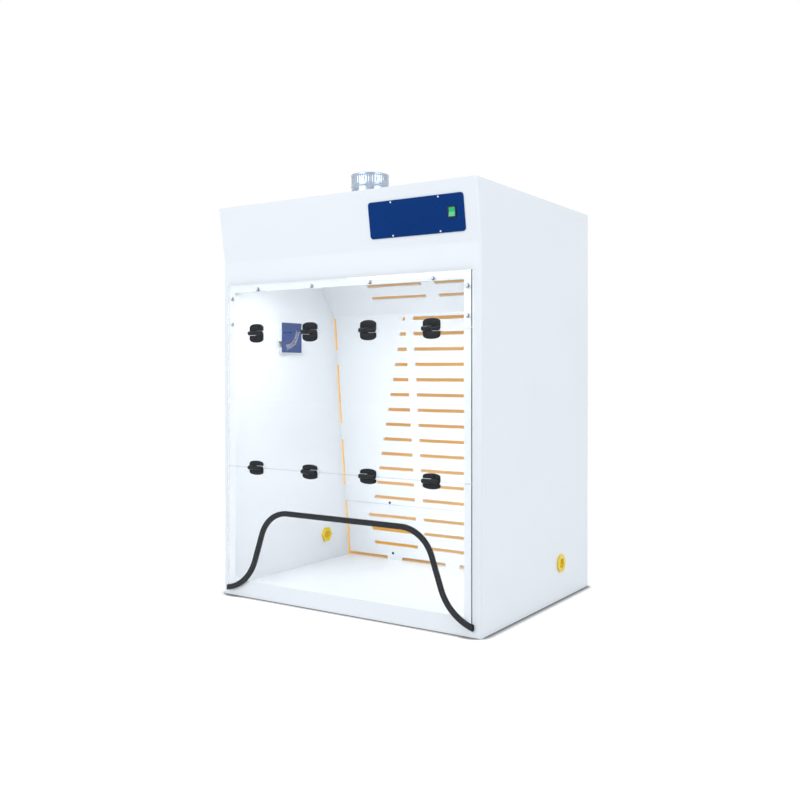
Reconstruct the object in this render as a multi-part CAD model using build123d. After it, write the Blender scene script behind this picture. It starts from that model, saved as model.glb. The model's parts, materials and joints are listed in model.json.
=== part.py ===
"""Polypropylene bench fume hood with a hinged clear front, a slotted baffle and an exhaust fan.

Millimetres. X runs to the right as seen from the front, Y to the back and Z up. The origin is the
centre of the cabinet's base, on the surface that the hood stands on.
"""

from build123d import *
import math
import os

# Cabinet
WIDTH = 914.0
DEPTH = 720.0
COMPARTMENT_HEIGHT = 190.0
WALL = 12.0
FRONT_SHEET = 15.0
FLOOR_SHEET = 20.0
DECK_SHEET = 10.0
DECK_HEIGHT = 1010.0
STILE = 50.5
SILL = 50.0
HEADER_BELOW_DECK = 72.0
CORNER_RADIUS = 6.0

# Fascia, folded forward from the front sheet
FOLD_ABOVE_DECK = 24.0
FASCIA_REACH = 26.0
FOLD_RADIUS = 60.0

# Clear front
CLEAR_SHEET = 6.0
CLEAR_SIDE_MARGIN = 25.0
CLEAR_OVER_HEADER = 23.0
CLEAR_STANDOFF = 3.0
PANEL_GAP = 2.0
FIXED_PANEL_HEIGHT = 151.0
LOWER_HINGE_HEIGHT = 401.5

# Arm opening in the lower panel: a flat top, an arc, a leaning leg and a second arc to the foot
ARCH_CENTRE_X = 8.0
ARCH_TOP = 265.5
ARCH_FLAT_INSET = 229.0
ARCH_SHOULDER_RADIUS = 99.5
ARCH_LEG_ANGLE = 71.0
ARCH_LEG_LENGTH = 87.5
ARCH_FOOT_RADIUS = 147.5

# Edge trim on the arch
TRIM_WALL = 2.0
TRIM_GRIP = 13.0
TRIM_LIP = 3.0
TRIM_OVERHANG = 4.0

# Fixed panel's hexagonal spacers, one at each of its screws
SCREW_ROW_INSET = 16.0
SCREW_SIDE_INSET = 14.0
SCREW_SIDE_DROP = 41.0
SCREW_SIDE_SPACING = 78.0
SPACER_RADIUS = 7.0

# Hinges
HINGE_COUNT = 4
HINGE_SIDE_MARGIN = 41.0
HINGE_WIDTH = 54.0
UPPER_LEAF = 28.5
LOWER_LEAF = 21.5
LEAF_SHEET = 5.0
LEAF_CORNER = 8.0
KNUCKLE_RADIUS = 6.5
KNUCKLE_OFF_PANEL = 0.5
KNUCKLE_GAP = 0.4
PIN_RADIUS = 2.5
PIN_RUNNING_GAP = 0.05

# Baffle
BAFFLE_SHEET = 6.0
BAFFLE_FOOT_INSET = 83.2
BAFFLE_FOLD_INSET = 170.5
BAFFLE_FOLD_BELOW_DECK = 118.0
BAFFLE_TOP_SLOPE = 50.5
LOWER_BAFFLE_LENGTH = 200.4
SEAM_GAP = 1.0
SLOT_HEIGHT = 12.0
FIRST_SLOT = 17.0
LAST_SLOT_ABOVE_SEAM = 24.8
SLOT_ROWS = 13
CENTRE_SLOT_HALF = 108.0
SIDE_SLOT_START = 139.0
SIDE_SLOT_END = 150.0
SIDE_SLOT_GROWTH = 13.4
LOWER_SLOT_BELOW_SEAM = 43.5
LOWER_SLOT_PITCH = 50.3
LOWER_SLOT_ROWS = 3
LOWER_SLOT_END = 341.0
LOWER_SLOT_SHRINK = 9.0
TOP_FIRST_SLOT = 69.0
TOP_SLOT_PITCH = 50.5
TOP_SLOT_ROWS = 2
TOP_SLOT_START = 25.0
TOP_SLOT_END = 245.0
EDGE_NOTCH = 8.0
EDGE_TAB_ROWS = ((2.0, 3.0), (7.06, 8.17))
SEAM_TAB_LENGTH = 56.0
FOOT_TABS = ((-240.0, 30.0), (0.0, 28.0), (240.0, 30.0))
BATTEN_HEIGHT = 30.0
BATTEN_SHEET = 12.0
CLEAT_X = 246.0
CLEAT_WIDTH = 50.0
CLEAT_HEIGHT = 36.0
CLEAT_DEPTH = 24.0

# Plenum liner
LINER_SHEET = 3.0
LINER_TAB_GAP = 0.5

# Exhaust collar
COLLAR_X = -152.0
COLLAR_Y = 0.0
COLLAR_RADIUS = 61.0
COLLAR_SHEET = 1.5
COLLAR_FLANGE = 20.0
COLLAR_BEAD_BOTTOM = 95.0
COLLAR_BEAD_HEIGHT = 5.0
COLLAR_BEAD_PROUD = 1.5
COLLAR_END_HEIGHT = 35.0

# Exhaust fan
FAN_X = 0.0
FAN_INSET = 145.0
INLET_RADIUS = 62.0
INLET_SHEET = 2.0
INLET_FLANGE = 26.0
INLET_RISE = 20.0
IMPELLER_RADIUS = 100.0
IMPELLER_EYE = 68.0
IMPELLER_SHEET = 2.5
BLADE_COUNT = 8
BLADE_HEIGHT = 48.0
BLADE_LEAN = 35.0
BLADE_OVER_INLET = 6.0
HUB_RADIUS = 18.0
SHAFT_RADIUS = 6.0
SHAFT_LENGTH = 40.0
MOTOR_RADIUS = 44.0
MOTOR_HEIGHT = 46.0
MOTOR_CLEARANCE = 4.0
BRACKET_WIDTH = 60.0
BRACKET_SHEET = 3.0
BRACKET_CLEARANCE = 22.0
BRACKET_FOOT = 24.0

# Control plate, box and rocker switch on the fascia
PLATE_SIDE_INSET = 194.5
PLATE_RISE = 80.0
PLATE_WIDTH = 304.0
PLATE_HEIGHT = 101.0
PLATE_SHEET = 2.5
PLATE_RADIUS = 9.0
CONTROL_BOX_WIDTH = 270.0
CONTROL_BOX_HEIGHT = 74.0
CONTROL_BOX_DEPTH = 90.0
CONTROL_BOX_SHEET = 2.0
CUTOUT_CLEARANCE = 1.0
SWITCH_OFF_CENTRE = 115.5
SWITCH_RISE = 82.0
BEZEL_WIDTH = 25.0
BEZEL_HEIGHT = 31.0
BEZEL_PROUD = 2.5
SWITCH_FRAME = 2.0
SWITCH_DEPTH = 26.0
ROCKER_WIDTH = 18.6
ROCKER_HEIGHT = 24.0
ROCKER_TILT = 7.0
ROCKER_CROWN = 4.0
ROCKER_WELL_GAP = 1.0
ROCKER_STUB = 1.2

# Power inlet in the rear wall
POWER_INLET_SIDE_INSET = 157.0
POWER_INLET_ABOVE_DECK = 85.0
POWER_FLANGE_WIDTH = 50.0
POWER_FLANGE_HEIGHT = 28.0
POWER_FLANGE_SHEET = 3.0
POWER_BODY_WIDTH = 30.0
POWER_BODY_HEIGHT = 22.0
POWER_BODY_BEHIND = 16.0
POWER_WALL = 2.5
POWER_SOCKET_DEPTH = 17.0
POWER_PIN_SPREAD = 7.0

# Lamp under the ceiling deck, behind the header
LAMP_SIDE_INSET = 157.0
LAMP_WIDTH = 60.0
LAMP_HEIGHT = 28.0
LAMP_SHEET = 2.0
LAMP_BEHIND_HEADER = 15.0
LENS_SHEET = 4.0

# Swing vane airflow gauge on the left wall
GAUGE_INSET = 244.0
GAUGE_DEPTH = 120.0
GAUGE_BELOW_DECK = 253.0
GAUGE_HEIGHT = 100.0
GAUGE_THICKNESS = 16.0
GAUGE_WALL = 2.0
GAUGE_FACE_DEPTH = 102.0
GAUGE_FACE_SHEET = 1.5
GAUGE_PIVOT_Y = 24.0
GAUGE_PIVOT_HEIGHT = 76.0
VANE_LENGTH = 58.0
VANE_SHEET = 0.8
VANE_EYE = 2.6
VANE_PIN = 1.0
VANE_GAP = 1.0
VANE_SWING = 85.0
WINDOW_HALF_WIDTH = 5.0
WINDOW_MARGIN_ANGLE = 4.0
GAUGE_AIRWAY = 22.0

# Cord ports through the side walls
PORT_INSET = 218.0
PORT_HEIGHT = 111.0
PORT_BORE = 15.0
PORT_SLEEVE = 20.0
PORT_FLANGE = 27.0
PORT_FLANGE_SHEET = 5.0
PORT_NUT = 27.0
PORT_NUT_SHEET = 6.0

# Places worked out from the sizes above
FRONT = -DEPTH / 2
BACK = DEPTH / 2
INNER_X = WIDTH / 2 - WALL
OPENING_X = WIDTH / 2 - STILE
DECK_TOP = DECK_HEIGHT + DECK_SHEET
HEIGHT = DECK_HEIGHT + COMPARTMENT_HEIGHT
FOLD_HEIGHT = DECK_HEIGHT + FOLD_ABOVE_DECK
HEADER_BOTTOM = DECK_HEIGHT - HEADER_BELOW_DECK
LEAN = math.atan2(FASCIA_REACH, HEIGHT - FOLD_HEIGHT)
CLEAR_BACK = FRONT - CLEAR_STANDOFF
CLEAR_FACE = CLEAR_BACK - CLEAR_SHEET
CLEAR_HALF_WIDTH = WIDTH / 2 - CLEAR_SIDE_MARGIN
CLEAR_TOP = HEADER_BOTTOM + CLEAR_OVER_HEADER
UPPER_HINGE_HEIGHT = CLEAR_TOP - FIXED_PANEL_HEIGHT
HINGE_AXIS_Y = CLEAR_FACE - KNUCKLE_OFF_PANEL - KNUCKLE_RADIUS
HINGE_SPACING = (WIDTH - 2 * HINGE_SIDE_MARGIN) / HINGE_COUNT
HINGE_COLUMNS = [(n - (HINGE_COUNT - 1) / 2) * HINGE_SPACING for n in range(HINGE_COUNT)]
ARCH_FLAT_HALF = CLEAR_HALF_WIDTH - ARCH_FLAT_INSET
BAFFLE_FOOT_Y = BACK - BAFFLE_FOOT_INSET
BAFFLE_FOLD_Y = BACK - BAFFLE_FOLD_INSET
BAFFLE_FOLD_HEIGHT = DECK_HEIGHT - BAFFLE_FOLD_BELOW_DECK
BAFFLE_LEAN = math.atan2(BAFFLE_FOOT_Y - BAFFLE_FOLD_Y, BAFFLE_FOLD_HEIGHT - FLOOR_SHEET)
BAFFLE_LENGTH = (BAFFLE_FOLD_HEIGHT - FLOOR_SHEET) / math.cos(BAFFLE_LEAN)
BAFFLE_SEAM = BAFFLE_LENGTH - LOWER_BAFFLE_LENGTH
SLOT_PITCH = (BAFFLE_SEAM - FIRST_SLOT - LAST_SLOT_ABOVE_SEAM) / (SLOT_ROWS - 1)
LOWER_FIRST_SLOT = BAFFLE_SEAM + LOWER_SLOT_BELOW_SEAM
EDGE_TABS = [
    (FIRST_SLOT + start * SLOT_PITCH, FIRST_SLOT + end * SLOT_PITCH) for start, end in EDGE_TAB_ROWS
]
EDGE_TABS.append((BAFFLE_SEAM - SEAM_TAB_LENGTH, BAFFLE_SEAM))
REAR_FACE = BACK - WALL
FAN_Y = BACK - FAN_INSET
PLATE_X = WIDTH / 2 - PLATE_SIDE_INSET
SWITCH_X = PLATE_X + SWITCH_OFF_CENTRE
POWER_INLET_X = WIDTH / 2 - POWER_INLET_SIDE_INSET
POWER_INLET_HEIGHT = DECK_TOP + POWER_INLET_ABOVE_DECK
LAMP_LENGTH = WIDTH - 2 * LAMP_SIDE_INSET
GAUGE_FRONT_Y = FRONT + GAUGE_INSET
GAUGE_BOTTOM = DECK_HEIGHT - GAUGE_BELOW_DECK
PORT_Y = BACK - PORT_INSET
FAR = 2000.0

# Directions
RIGHT = Vector(1, 0, 0)
UP = Vector(0, 0, 1)
FASCIA_OUT = Vector(0, -math.cos(LEAN), -math.sin(LEAN))
BAFFLE_OUT = Vector(0, -math.cos(BAFFLE_LEAN), -math.sin(BAFFLE_LEAN))
TOP_SLOPE = math.radians(BAFFLE_TOP_SLOPE)
BAFFLE_TOP_OUT = Vector(0, -math.sin(TOP_SLOPE), -math.cos(TOP_SLOPE))

# Work planes: local x to the right, local y up the sheet and local z out of its face
FASCIA_PLANE = Plane(origin=(0, FRONT, FOLD_HEIGHT), x_dir=RIGHT, z_dir=FASCIA_OUT)
BAFFLE_FOLD = (0, BAFFLE_FOLD_Y, BAFFLE_FOLD_HEIGHT)
BAFFLE_PLANE = Plane(origin=BAFFLE_FOLD, x_dir=RIGHT, z_dir=BAFFLE_OUT)
BAFFLE_TOP_PLANE = Plane(origin=BAFFLE_FOLD, x_dir=RIGHT, z_dir=BAFFLE_TOP_OUT)
PLATE_PLANE = FASCIA_PLANE * Pos(PLATE_X, PLATE_RISE, 0)
SWITCH_PLANE = FASCIA_PLANE * Pos(SWITCH_X, SWITCH_RISE, PLATE_SHEET)

BASE_ALIGN = (Align.CENTER, Align.CENTER, Align.MIN)


# Small helpers


def block(x_range, y_range, z_range):
    """Box between three pairs of coordinates."""
    size = [high - low for low, high in (x_range, y_range, z_range)]
    centre = [(high + low) / 2 for low, high in (x_range, y_range, z_range)]
    return Pos(*centre) * Box(*size)


def rod(start, direction, radius, length):
    """Cylinder that begins at a point and runs along a direction."""
    return Plane(origin=start, z_dir=direction) * Cylinder(radius, length, align=BASE_ALIGN)


def prism(outline, x_low, x_high):
    """Solid with a YZ outline, between two X places."""
    face = Plane.YZ.offset(x_low) * make_face(Polyline(*outline, close=True))
    return extrude(face, amount=x_high - x_low, dir=RIGHT)


def offset_path(path, distance):
    """YZ path moved sideways, to the right of its direction, with mitred corners."""
    points = [Vector(y, z, 0) for y, z in path]
    runs = [(end - start).normalized() for start, end in zip(points, points[1:])]
    sides = [Vector(run.Y, -run.X, 0) for run in runs]
    moved = []
    for index, point in enumerate(points):
        before = sides[max(index - 1, 0)]
        after = sides[min(index, len(sides) - 1)]
        miter = (before + after).normalized()
        moved.append(point + miter * (distance / miter.dot(before)))
    return [(point.X, point.Y) for point in moved]


# Cabinet


def fascia_y(height, depth):
    """Y of the plane that lies at a depth behind the fascia's face, at a height."""
    return FRONT + depth / math.cos(LEAN) - (height - FOLD_HEIGHT) * math.tan(LEAN)


def front_line(depth):
    """YZ line from the base to the top, at a depth behind the folded front sheet's face."""
    fold = FOLD_HEIGHT + depth * math.tan(LEAN / 2)
    return [(FRONT + depth, 0), (FRONT + depth, fold), (fascia_y(HEIGHT, depth), HEIGHT)]


def fold_vertices(sketch, depth):
    """The fold's corner in the front sheet's outline, at one of its faces."""
    corner = Vector(*front_line(depth)[1])
    return sketch.vertices().sort_by_distance(corner)[0]


def make_front_frame():
    """Front sheet with the work opening, folded forward above the header as the fascia."""
    outline = make_face(Polyline(*front_line(0), *reversed(front_line(FRONT_SHEET)), close=True))
    outline = fillet(fold_vertices(outline, 0), FOLD_RADIUS)
    outline = fillet(fold_vertices(outline, FRONT_SHEET), FOLD_RADIUS + FRONT_SHEET)
    sheet = extrude(Plane.YZ.offset(-WIDTH / 2) * outline, amount=WIDTH, dir=RIGHT)
    upright = [edge for edge in sheet.edges().filter_by(Axis.Z) if edge.center().Y < FRONT + 1]
    sheet = fillet(upright, CORNER_RADIUS)
    opening = block(
        (-OPENING_X, OPENING_X), (FRONT - 1, FRONT + FRONT_SHEET + 1), (SILL, HEADER_BOTTOM)
    )
    cutout = PLATE_PLANE * Box(
        CONTROL_BOX_WIDTH + 2 * CUTOUT_CLEARANCE,
        CONTROL_BOX_HEIGHT + 2 * CUTOUT_CLEARANCE,
        4 * FRONT_SHEET,
    )
    return sheet - opening - cutout


def port_hole(side):
    """Cylinder that clears a cord port's sleeve through one side wall."""
    start = side * (WIDTH / 2 + PORT_FLANGE_SHEET)
    length = WALL + PORT_FLANGE_SHEET + PORT_NUT_SHEET
    return rod((start, PORT_Y, PORT_HEIGHT), (-side, 0, 0), PORT_SLEEVE, length)


def make_side_wall(side):
    """Side wall behind the front sheet, with the hole of its cord port."""
    outline = front_line(FRONT_SHEET) + [(BACK, HEIGHT), (BACK, 0)]
    x_low, x_high = sorted((side * INNER_X, side * WIDTH / 2))
    return prism(outline, x_low, x_high) - port_hole(side)


def make_rear_wall():
    """Rear wall between the side walls, with the hole of the power inlet."""
    wall = block((-INNER_X, INNER_X), (REAR_FACE, BACK), (0, HEIGHT))
    hole = Pos(POWER_INLET_X, REAR_FACE, POWER_INLET_HEIGHT) * Box(
        POWER_BODY_WIDTH, 4 * WALL, POWER_BODY_HEIGHT
    )
    return wall - hole


def make_floor_panel():
    """Work surface, which is the cabinet's base."""
    return block((-INNER_X, INNER_X), (FRONT + FRONT_SHEET, REAR_FACE), (0, FLOOR_SHEET))


def make_ceiling_deck():
    """Sheet between the work chamber and the exhaust compartment, with the fan's inlet hole."""
    deck = block(
        (-INNER_X, INNER_X), (FRONT + FRONT_SHEET, REAR_FACE), (DECK_HEIGHT, DECK_TOP)
    )
    return deck - rod((FAN_X, FAN_Y, DECK_HEIGHT - 1), UP, INLET_RADIUS, DECK_SHEET + 2)


def make_top_panel():
    """Top panel behind the fascia, with the collar's hole."""
    under = HEIGHT - WALL
    outline = [
        (fascia_y(under, FRONT_SHEET), under),
        (fascia_y(HEIGHT, FRONT_SHEET), HEIGHT),
        (REAR_FACE, HEIGHT),
        (REAR_FACE, under),
    ]
    panel = prism(outline, -INNER_X, INNER_X)
    bore = COLLAR_RADIUS - COLLAR_SHEET
    return panel - rod((COLLAR_X, COLLAR_Y, under - 1), UP, bore, WALL + 2)


# Clear front


def clear_sheet(z_low, z_high):
    """Clear sheet between two heights."""
    return block(
        (-CLEAR_HALF_WIDTH, CLEAR_HALF_WIDTH), (CLEAR_FACE, CLEAR_BACK), (z_low, z_high)
    )


def make_fixed_panel():
    """Upper clear panel, held off the front sheet by spacers."""
    return clear_sheet(UPPER_HINGE_HEIGHT + PANEL_GAP / 2, CLEAR_TOP)


def make_middle_panel():
    """Clear panel that hangs from the fixed panel and carries the lower one."""
    return clear_sheet(LOWER_HINGE_HEIGHT + PANEL_GAP / 2, UPPER_HINGE_HEIGHT - PANEL_GAP / 2)


def arch_face(offset):
    """Front view of the space under the arch, grown or shrunk by an offset from the clear edge.

    Each half is a flat, a shoulder arc, a straight leg and a foot arc. Both arcs keep their centres
    as the offset changes, so that the outlines stay parallel.
    """
    angle = math.radians(ARCH_LEG_ANGLE)
    along = Vector(math.cos(angle), -math.sin(angle), 0)
    outward = Vector(math.sin(angle), math.cos(angle), 0)
    up = Vector(0, 1, 0)
    shoulder = Vector(ARCH_FLAT_HALF, ARCH_TOP - ARCH_SHOULDER_RADIUS, 0)
    shoulder_radius = ARCH_SHOULDER_RADIUS + offset
    leg_foot = shoulder + outward * ARCH_SHOULDER_RADIUS + along * ARCH_LEG_LENGTH
    foot = leg_foot + outward * ARCH_FOOT_RADIUS
    foot_radius = ARCH_FOOT_RADIUS - offset

    top = Vector(0, ARCH_TOP + offset, 0)
    flat_end = shoulder + up * shoulder_radius
    shoulder_middle = shoulder + (up + outward).normalized() * shoulder_radius
    leg_start = shoulder + outward * shoulder_radius
    leg_end = foot - outward * foot_radius
    foot_middle = foot - (up + outward).normalized() * foot_radius
    foot_end = foot - up * foot_radius
    half = make_face(
        Curve()
        + [
            Line(top, flat_end),
            ThreePointArc(flat_end, shoulder_middle, leg_start),
            Line(leg_start, leg_end),
            ThreePointArc(leg_end, foot_middle, foot_end),
            Polyline(foot_end, (FAR, foot_end.Y), (FAR, -FAR), (0, -FAR), top),
        ]
    )
    return Pos(ARCH_CENTRE_X, 0) * (half + mirror(half, about=Plane.YZ))


def arch_space(offset, y_low, y_high):
    """Solid of the space under the arch, between two Y places."""
    front = Plane(origin=(0, y_low, 0), x_dir=RIGHT, z_dir=(0, -1, 0))
    return extrude(front * arch_face(offset), amount=y_high - y_low, dir=(0, 1, 0))


def make_lower_panel():
    """Clear panel with the arched arm opening."""
    panel = clear_sheet(0, LOWER_HINGE_HEIGHT - PANEL_GAP / 2)
    return panel - arch_space(0, CLEAR_FACE - 1, CLEAR_BACK + 1)


def make_edge_trim():
    """Channel that grips the lower panel's edge all along the arch."""
    front = CLEAR_FACE - TRIM_WALL
    back = CLEAR_BACK + TRIM_WALL
    reach = CLEAR_HALF_WIDTH + TRIM_OVERHANG
    band = arch_space(TRIM_GRIP, front, back) - arch_space(-TRIM_LIP, front - 1, back + 1)
    slot = arch_space(TRIM_GRIP + 1, CLEAR_FACE, CLEAR_BACK)
    slot -= arch_space(0, CLEAR_FACE - 1, CLEAR_BACK + 1)
    return (band - slot) & block((-reach, reach), (front, back), (0, LOWER_HINGE_HEIGHT))


def panel_screw_places():
    """X and Z of the fixed panel's screws."""
    row = CLEAR_TOP - SCREW_ROW_INSET
    side = CLEAR_HALF_WIDTH - SCREW_SIDE_INSET
    high = CLEAR_TOP - SCREW_SIDE_DROP
    top = [(x, row) for x in HINGE_COLUMNS]
    sides = [(x, z) for x in (-side, side) for z in (high, high - SCREW_SIDE_SPACING)]
    return top + sides


def make_panel_spacers():
    """Hexagonal spacers between the fixed panel and the front sheet."""
    spacers = []
    for x, z in panel_screw_places():
        plane = Plane(origin=(x, CLEAR_BACK, z), x_dir=RIGHT, z_dir=(0, 1, 0))
        outline = plane * RegularPolygon(SPACER_RADIUS, 6)
        spacers.append(extrude(outline, amount=CLEAR_STANDOFF, dir=(0, 1, 0)))
    return spacers


# Hinges


def leaf_plate(reach):
    """Flat of a hinge leaf on its panel, from the hinge line upwards, with two corners cut off."""
    half = HINGE_WIDTH / 2
    corners = [
        (-half, 0),
        (-half, reach - LEAF_CORNER),
        (-half + LEAF_CORNER, reach),
        (half - LEAF_CORNER, reach),
        (half, reach - LEAF_CORNER),
        (half, 0),
    ]
    seat = Plane.XY.offset(-KNUCKLE_RADIUS - KNUCKLE_OFF_PANEL)
    return extrude(seat * make_face(Polyline(*corners, close=True)), amount=LEAF_SHEET)


def half_rod(radius, end_gap):
    """Rod on the hinge line, from near the middle of the hinge to the end of its right half."""
    length = HINGE_WIDTH / 2 - end_gap
    return Pos(end_gap, 0, 0) * Rot(0, 90, 0) * Cylinder(radius, length, align=BASE_ALIGN)


def make_hinge_leaf(column, line_height, leaf):
    """Leaf that reaches up from the hinge line, or down if its length is negative.

    The leaf above the line has one knuckle with the pin standing out of it, and the leaf below has
    the other knuckle, which turns on the pin. Hinges left and right of the middle are mirrored, so
    that the panel can't slide off the pins.
    """
    side = math.copysign(1, column)
    plane = Plane(origin=(column, HINGE_AXIS_Y, line_height), x_dir=RIGHT, z_dir=(0, -1, 0))
    gap_cut = KNUCKLE_RADIUS + KNUCKLE_GAP
    half_gap = KNUCKLE_GAP / 2
    knuckle = half_rod(KNUCKLE_RADIUS, half_gap)
    relief = Pos(HINGE_WIDTH / 2 - half_gap, 0, 0) * Box(HINGE_WIDTH, 2 * gap_cut, 4 * gap_cut)
    leaf_solid = leaf_plate(abs(leaf)) - mirror(relief, about=Plane.YZ) + knuckle
    if leaf > 0:
        leaf_solid += mirror(half_rod(PIN_RADIUS, -half_gap), about=Plane.YZ)
    else:
        leaf_solid -= Rot(0, 90, 0) * Cylinder(PIN_RADIUS + PIN_RUNNING_GAP, 2 * HINGE_WIDTH)
        leaf_solid = mirror(leaf_solid, about=Plane.XZ)
        leaf_solid = mirror(leaf_solid, about=Plane.YZ)
    if side < 0:
        leaf_solid = mirror(leaf_solid, about=Plane.YZ)
    return plane * leaf_solid


# Baffles and plenum


def baffle_path():
    """YZ path of the baffle's face, from below the floor to above the ceiling deck."""
    below = 40.0
    above = (DECK_HEIGHT - BAFFLE_FOLD_HEIGHT) + 40.0
    foot = (BAFFLE_FOOT_Y + below * math.tan(BAFFLE_LEAN), FLOOR_SHEET - below)
    top = (BAFFLE_FOLD_Y - above / math.tan(TOP_SLOPE), BAFFLE_FOLD_HEIGHT + above)
    return [foot, (BAFFLE_FOLD_Y, BAFFLE_FOLD_HEIGHT), top]


def baffle_sheet():
    """The whole folded baffle before its slots, cut to the floor and the ceiling deck."""
    path = baffle_path()
    sheet = prism(path + offset_path(path, BAFFLE_SHEET)[::-1], -INNER_X, INNER_X)
    return sheet & block((-FAR, FAR), (-FAR, FAR), (FLOOR_SHEET, DECK_HEIGHT))


def through_baffle(plane, sketch):
    """Cut through the baffle where a sketch on one of its planes lies."""
    depth = 4 * BAFFLE_SHEET
    return extrude(plane * Pos(0, 0, -depth / 2) * sketch, amount=depth, dir=plane.z_dir)


def side_slots(distance, inner, outer, outer_change):
    """Left and right slots of a row, their outer ends cut along the pattern's slanted edge."""
    half = SLOT_HEIGHT / 2
    slope = outer_change / 2
    slots = []
    for side in (-1, 1):
        corners = [
            (side * inner, -distance + half),
            (side * (outer - slope), -distance + half),
            (side * (outer + slope), -distance - half),
            (side * inner, -distance - half),
        ]
        slots.append(make_face(Polyline(*corners, close=True)))
    return slots


def centre_slot(distance):
    """Middle slot of a row."""
    return Pos(0, -distance) * Rectangle(2 * CENTRE_SLOT_HALF, SLOT_HEIGHT)


def edge_notches(top, bottom):
    """Gaps beside the side walls, between two distances down from the fold."""
    middle = -(top + bottom) / 2
    width = INNER_X - EDGE_NOTCH / 2
    return [Pos(side * width, middle) * Rectangle(EDGE_NOTCH, bottom - top) for side in (-1, 1)]


def make_main_baffle():
    """Folded baffle above the seam, with its slots and the gaps beside the walls."""
    reach = BAFFLE_SEAM - SEAM_GAP / 2
    below_seam = Pos(0, -reach - FAR / 2) * Rectangle(3 * WIDTH, FAR)
    sheet = baffle_sheet() - through_baffle(BAFFLE_PLANE, below_seam)
    cuts = []
    for row in range(SLOT_ROWS):
        distance = FIRST_SLOT + row * SLOT_PITCH
        outer = SIDE_SLOT_END + row * SIDE_SLOT_GROWTH
        change = SIDE_SLOT_GROWTH * SLOT_HEIGHT / SLOT_PITCH
        cuts.append(centre_slot(distance))
        cuts += side_slots(distance, SIDE_SLOT_START, outer, change)
    starts = [FIRST_SLOT / 2] + [low for high, low in EDGE_TABS]
    for top, (bottom, tab_end) in zip(starts, EDGE_TABS):
        cuts += edge_notches(top, bottom)
    sheet -= through_baffle(BAFFLE_PLANE, Sketch() + cuts)
    top_cuts = []
    for row in range(TOP_SLOT_ROWS):
        rise = TOP_FIRST_SLOT + row * TOP_SLOT_PITCH
        length = TOP_SLOT_END - TOP_SLOT_START
        middle = (TOP_SLOT_END + TOP_SLOT_START) / 2
        for side in (-1, 1):
            top_cuts.append(Pos(side * middle, rise) * Rectangle(length, SLOT_HEIGHT))
    return sheet - through_baffle(BAFFLE_TOP_PLANE, Sketch() + top_cuts)


def make_lower_baffle():
    """Baffle below the seam, standing on its foot tabs."""
    reach = BAFFLE_SEAM + SEAM_GAP / 2
    above_seam = Pos(0, -reach + FAR / 2) * Rectangle(3 * WIDTH, FAR)
    sheet = baffle_sheet() & block((-FAR, FAR), (0, FAR), (0, BAFFLE_FOLD_HEIGHT))
    sheet -= through_baffle(BAFFLE_PLANE, above_seam)
    cuts = edge_notches(BAFFLE_SEAM - 1, BAFFLE_LENGTH + 2 * BAFFLE_SHEET)
    for row in range(LOWER_SLOT_ROWS):
        distance = LOWER_FIRST_SLOT + row * LOWER_SLOT_PITCH
        outer = LOWER_SLOT_END - row * LOWER_SLOT_SHRINK
        change = -LOWER_SLOT_SHRINK * SLOT_HEIGHT / LOWER_SLOT_PITCH
        cuts.append(centre_slot(distance))
        cuts += side_slots(distance, SIDE_SLOT_START, outer, change)
    foot = Pos(0, -BAFFLE_LENGTH) * Rectangle(WIDTH, 2 * SLOT_HEIGHT)
    for centre, half in FOOT_TABS:
        foot -= Pos(centre, -BAFFLE_LENGTH) * Rectangle(2 * half, 4 * SLOT_HEIGHT)
    return sheet - through_baffle(BAFFLE_PLANE, Sketch() + cuts + foot)


def make_baffle_batten():
    """Bar behind the seam, from liner to liner, that carries both baffles."""
    return BAFFLE_PLANE * Pos(0, -BAFFLE_SEAM, -BAFFLE_SHEET - BATTEN_SHEET / 2) * Box(
        2 * (INNER_X - LINER_SHEET), BATTEN_HEIGHT, BATTEN_SHEET
    )


def make_baffle_cleats():
    """Blocks on the floor behind the foot tabs that take the lower baffle's screws."""
    behind = baffle_path()
    line = offset_path(behind, BAFFLE_SHEET)
    outline = line[:2] + [(line[1][0] + FAR, line[1][1]), (line[0][0] + FAR, line[0][1])]
    wedge = prism(outline, -FAR / 2, FAR / 2)
    cleats = []
    for x in (-CLEAT_X, CLEAT_X):
        room = block(
            (x - CLEAT_WIDTH / 2, x + CLEAT_WIDTH / 2),
            (BAFFLE_FOOT_Y - 2 * BAFFLE_SHEET, BAFFLE_FOOT_Y + BAFFLE_SHEET + CLEAT_DEPTH),
            (FLOOR_SHEET, FLOOR_SHEET + CLEAT_HEIGHT),
        )
        cleats.append(room & wedge)
    return cleats


def make_plenum_liner():
    """Folded liner of the plenum: a back and two returns along the side walls.

    The returns reach forward past the baffle's edge gaps, and stop short of its tabs.
    """
    back = block((-INNER_X, INNER_X), (REAR_FACE - LINER_SHEET, REAR_FACE), (FLOOR_SHEET, DECK_HEIGHT))
    face = baffle_path()
    outline = face + [(REAR_FACE, face[-1][1]), (REAR_FACE, face[0][1])]
    region = block((-FAR, FAR), (-FAR, REAR_FACE), (FLOOR_SHEET, DECK_HEIGHT))
    sheet = baffle_sheet()
    lower_gap = BAFFLE_SEAM + LINER_TAB_GAP
    starts = [FIRST_SLOT / 2] + [low for high, low in EDGE_TABS]
    ends = [high for high, low in EDGE_TABS]
    spans = list(zip(starts[:-1], ends)) + [(lower_gap, BAFFLE_LENGTH + 2 * BAFFLE_SHEET)]
    tongues = []
    for top, bottom in spans:
        tongues += edge_notches(top + LINER_TAB_GAP, bottom - LINER_TAB_GAP)
    sheet -= through_baffle(BAFFLE_PLANE, Sketch() + tongues)
    liner = back
    for side in (-1, 1):
        x_low, x_high = sorted((side * INNER_X, side * (INNER_X - LINER_SHEET)))
        liner += (prism(outline, x_low, x_high) & region) - sheet
    return liner


# Exhaust collar


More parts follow.
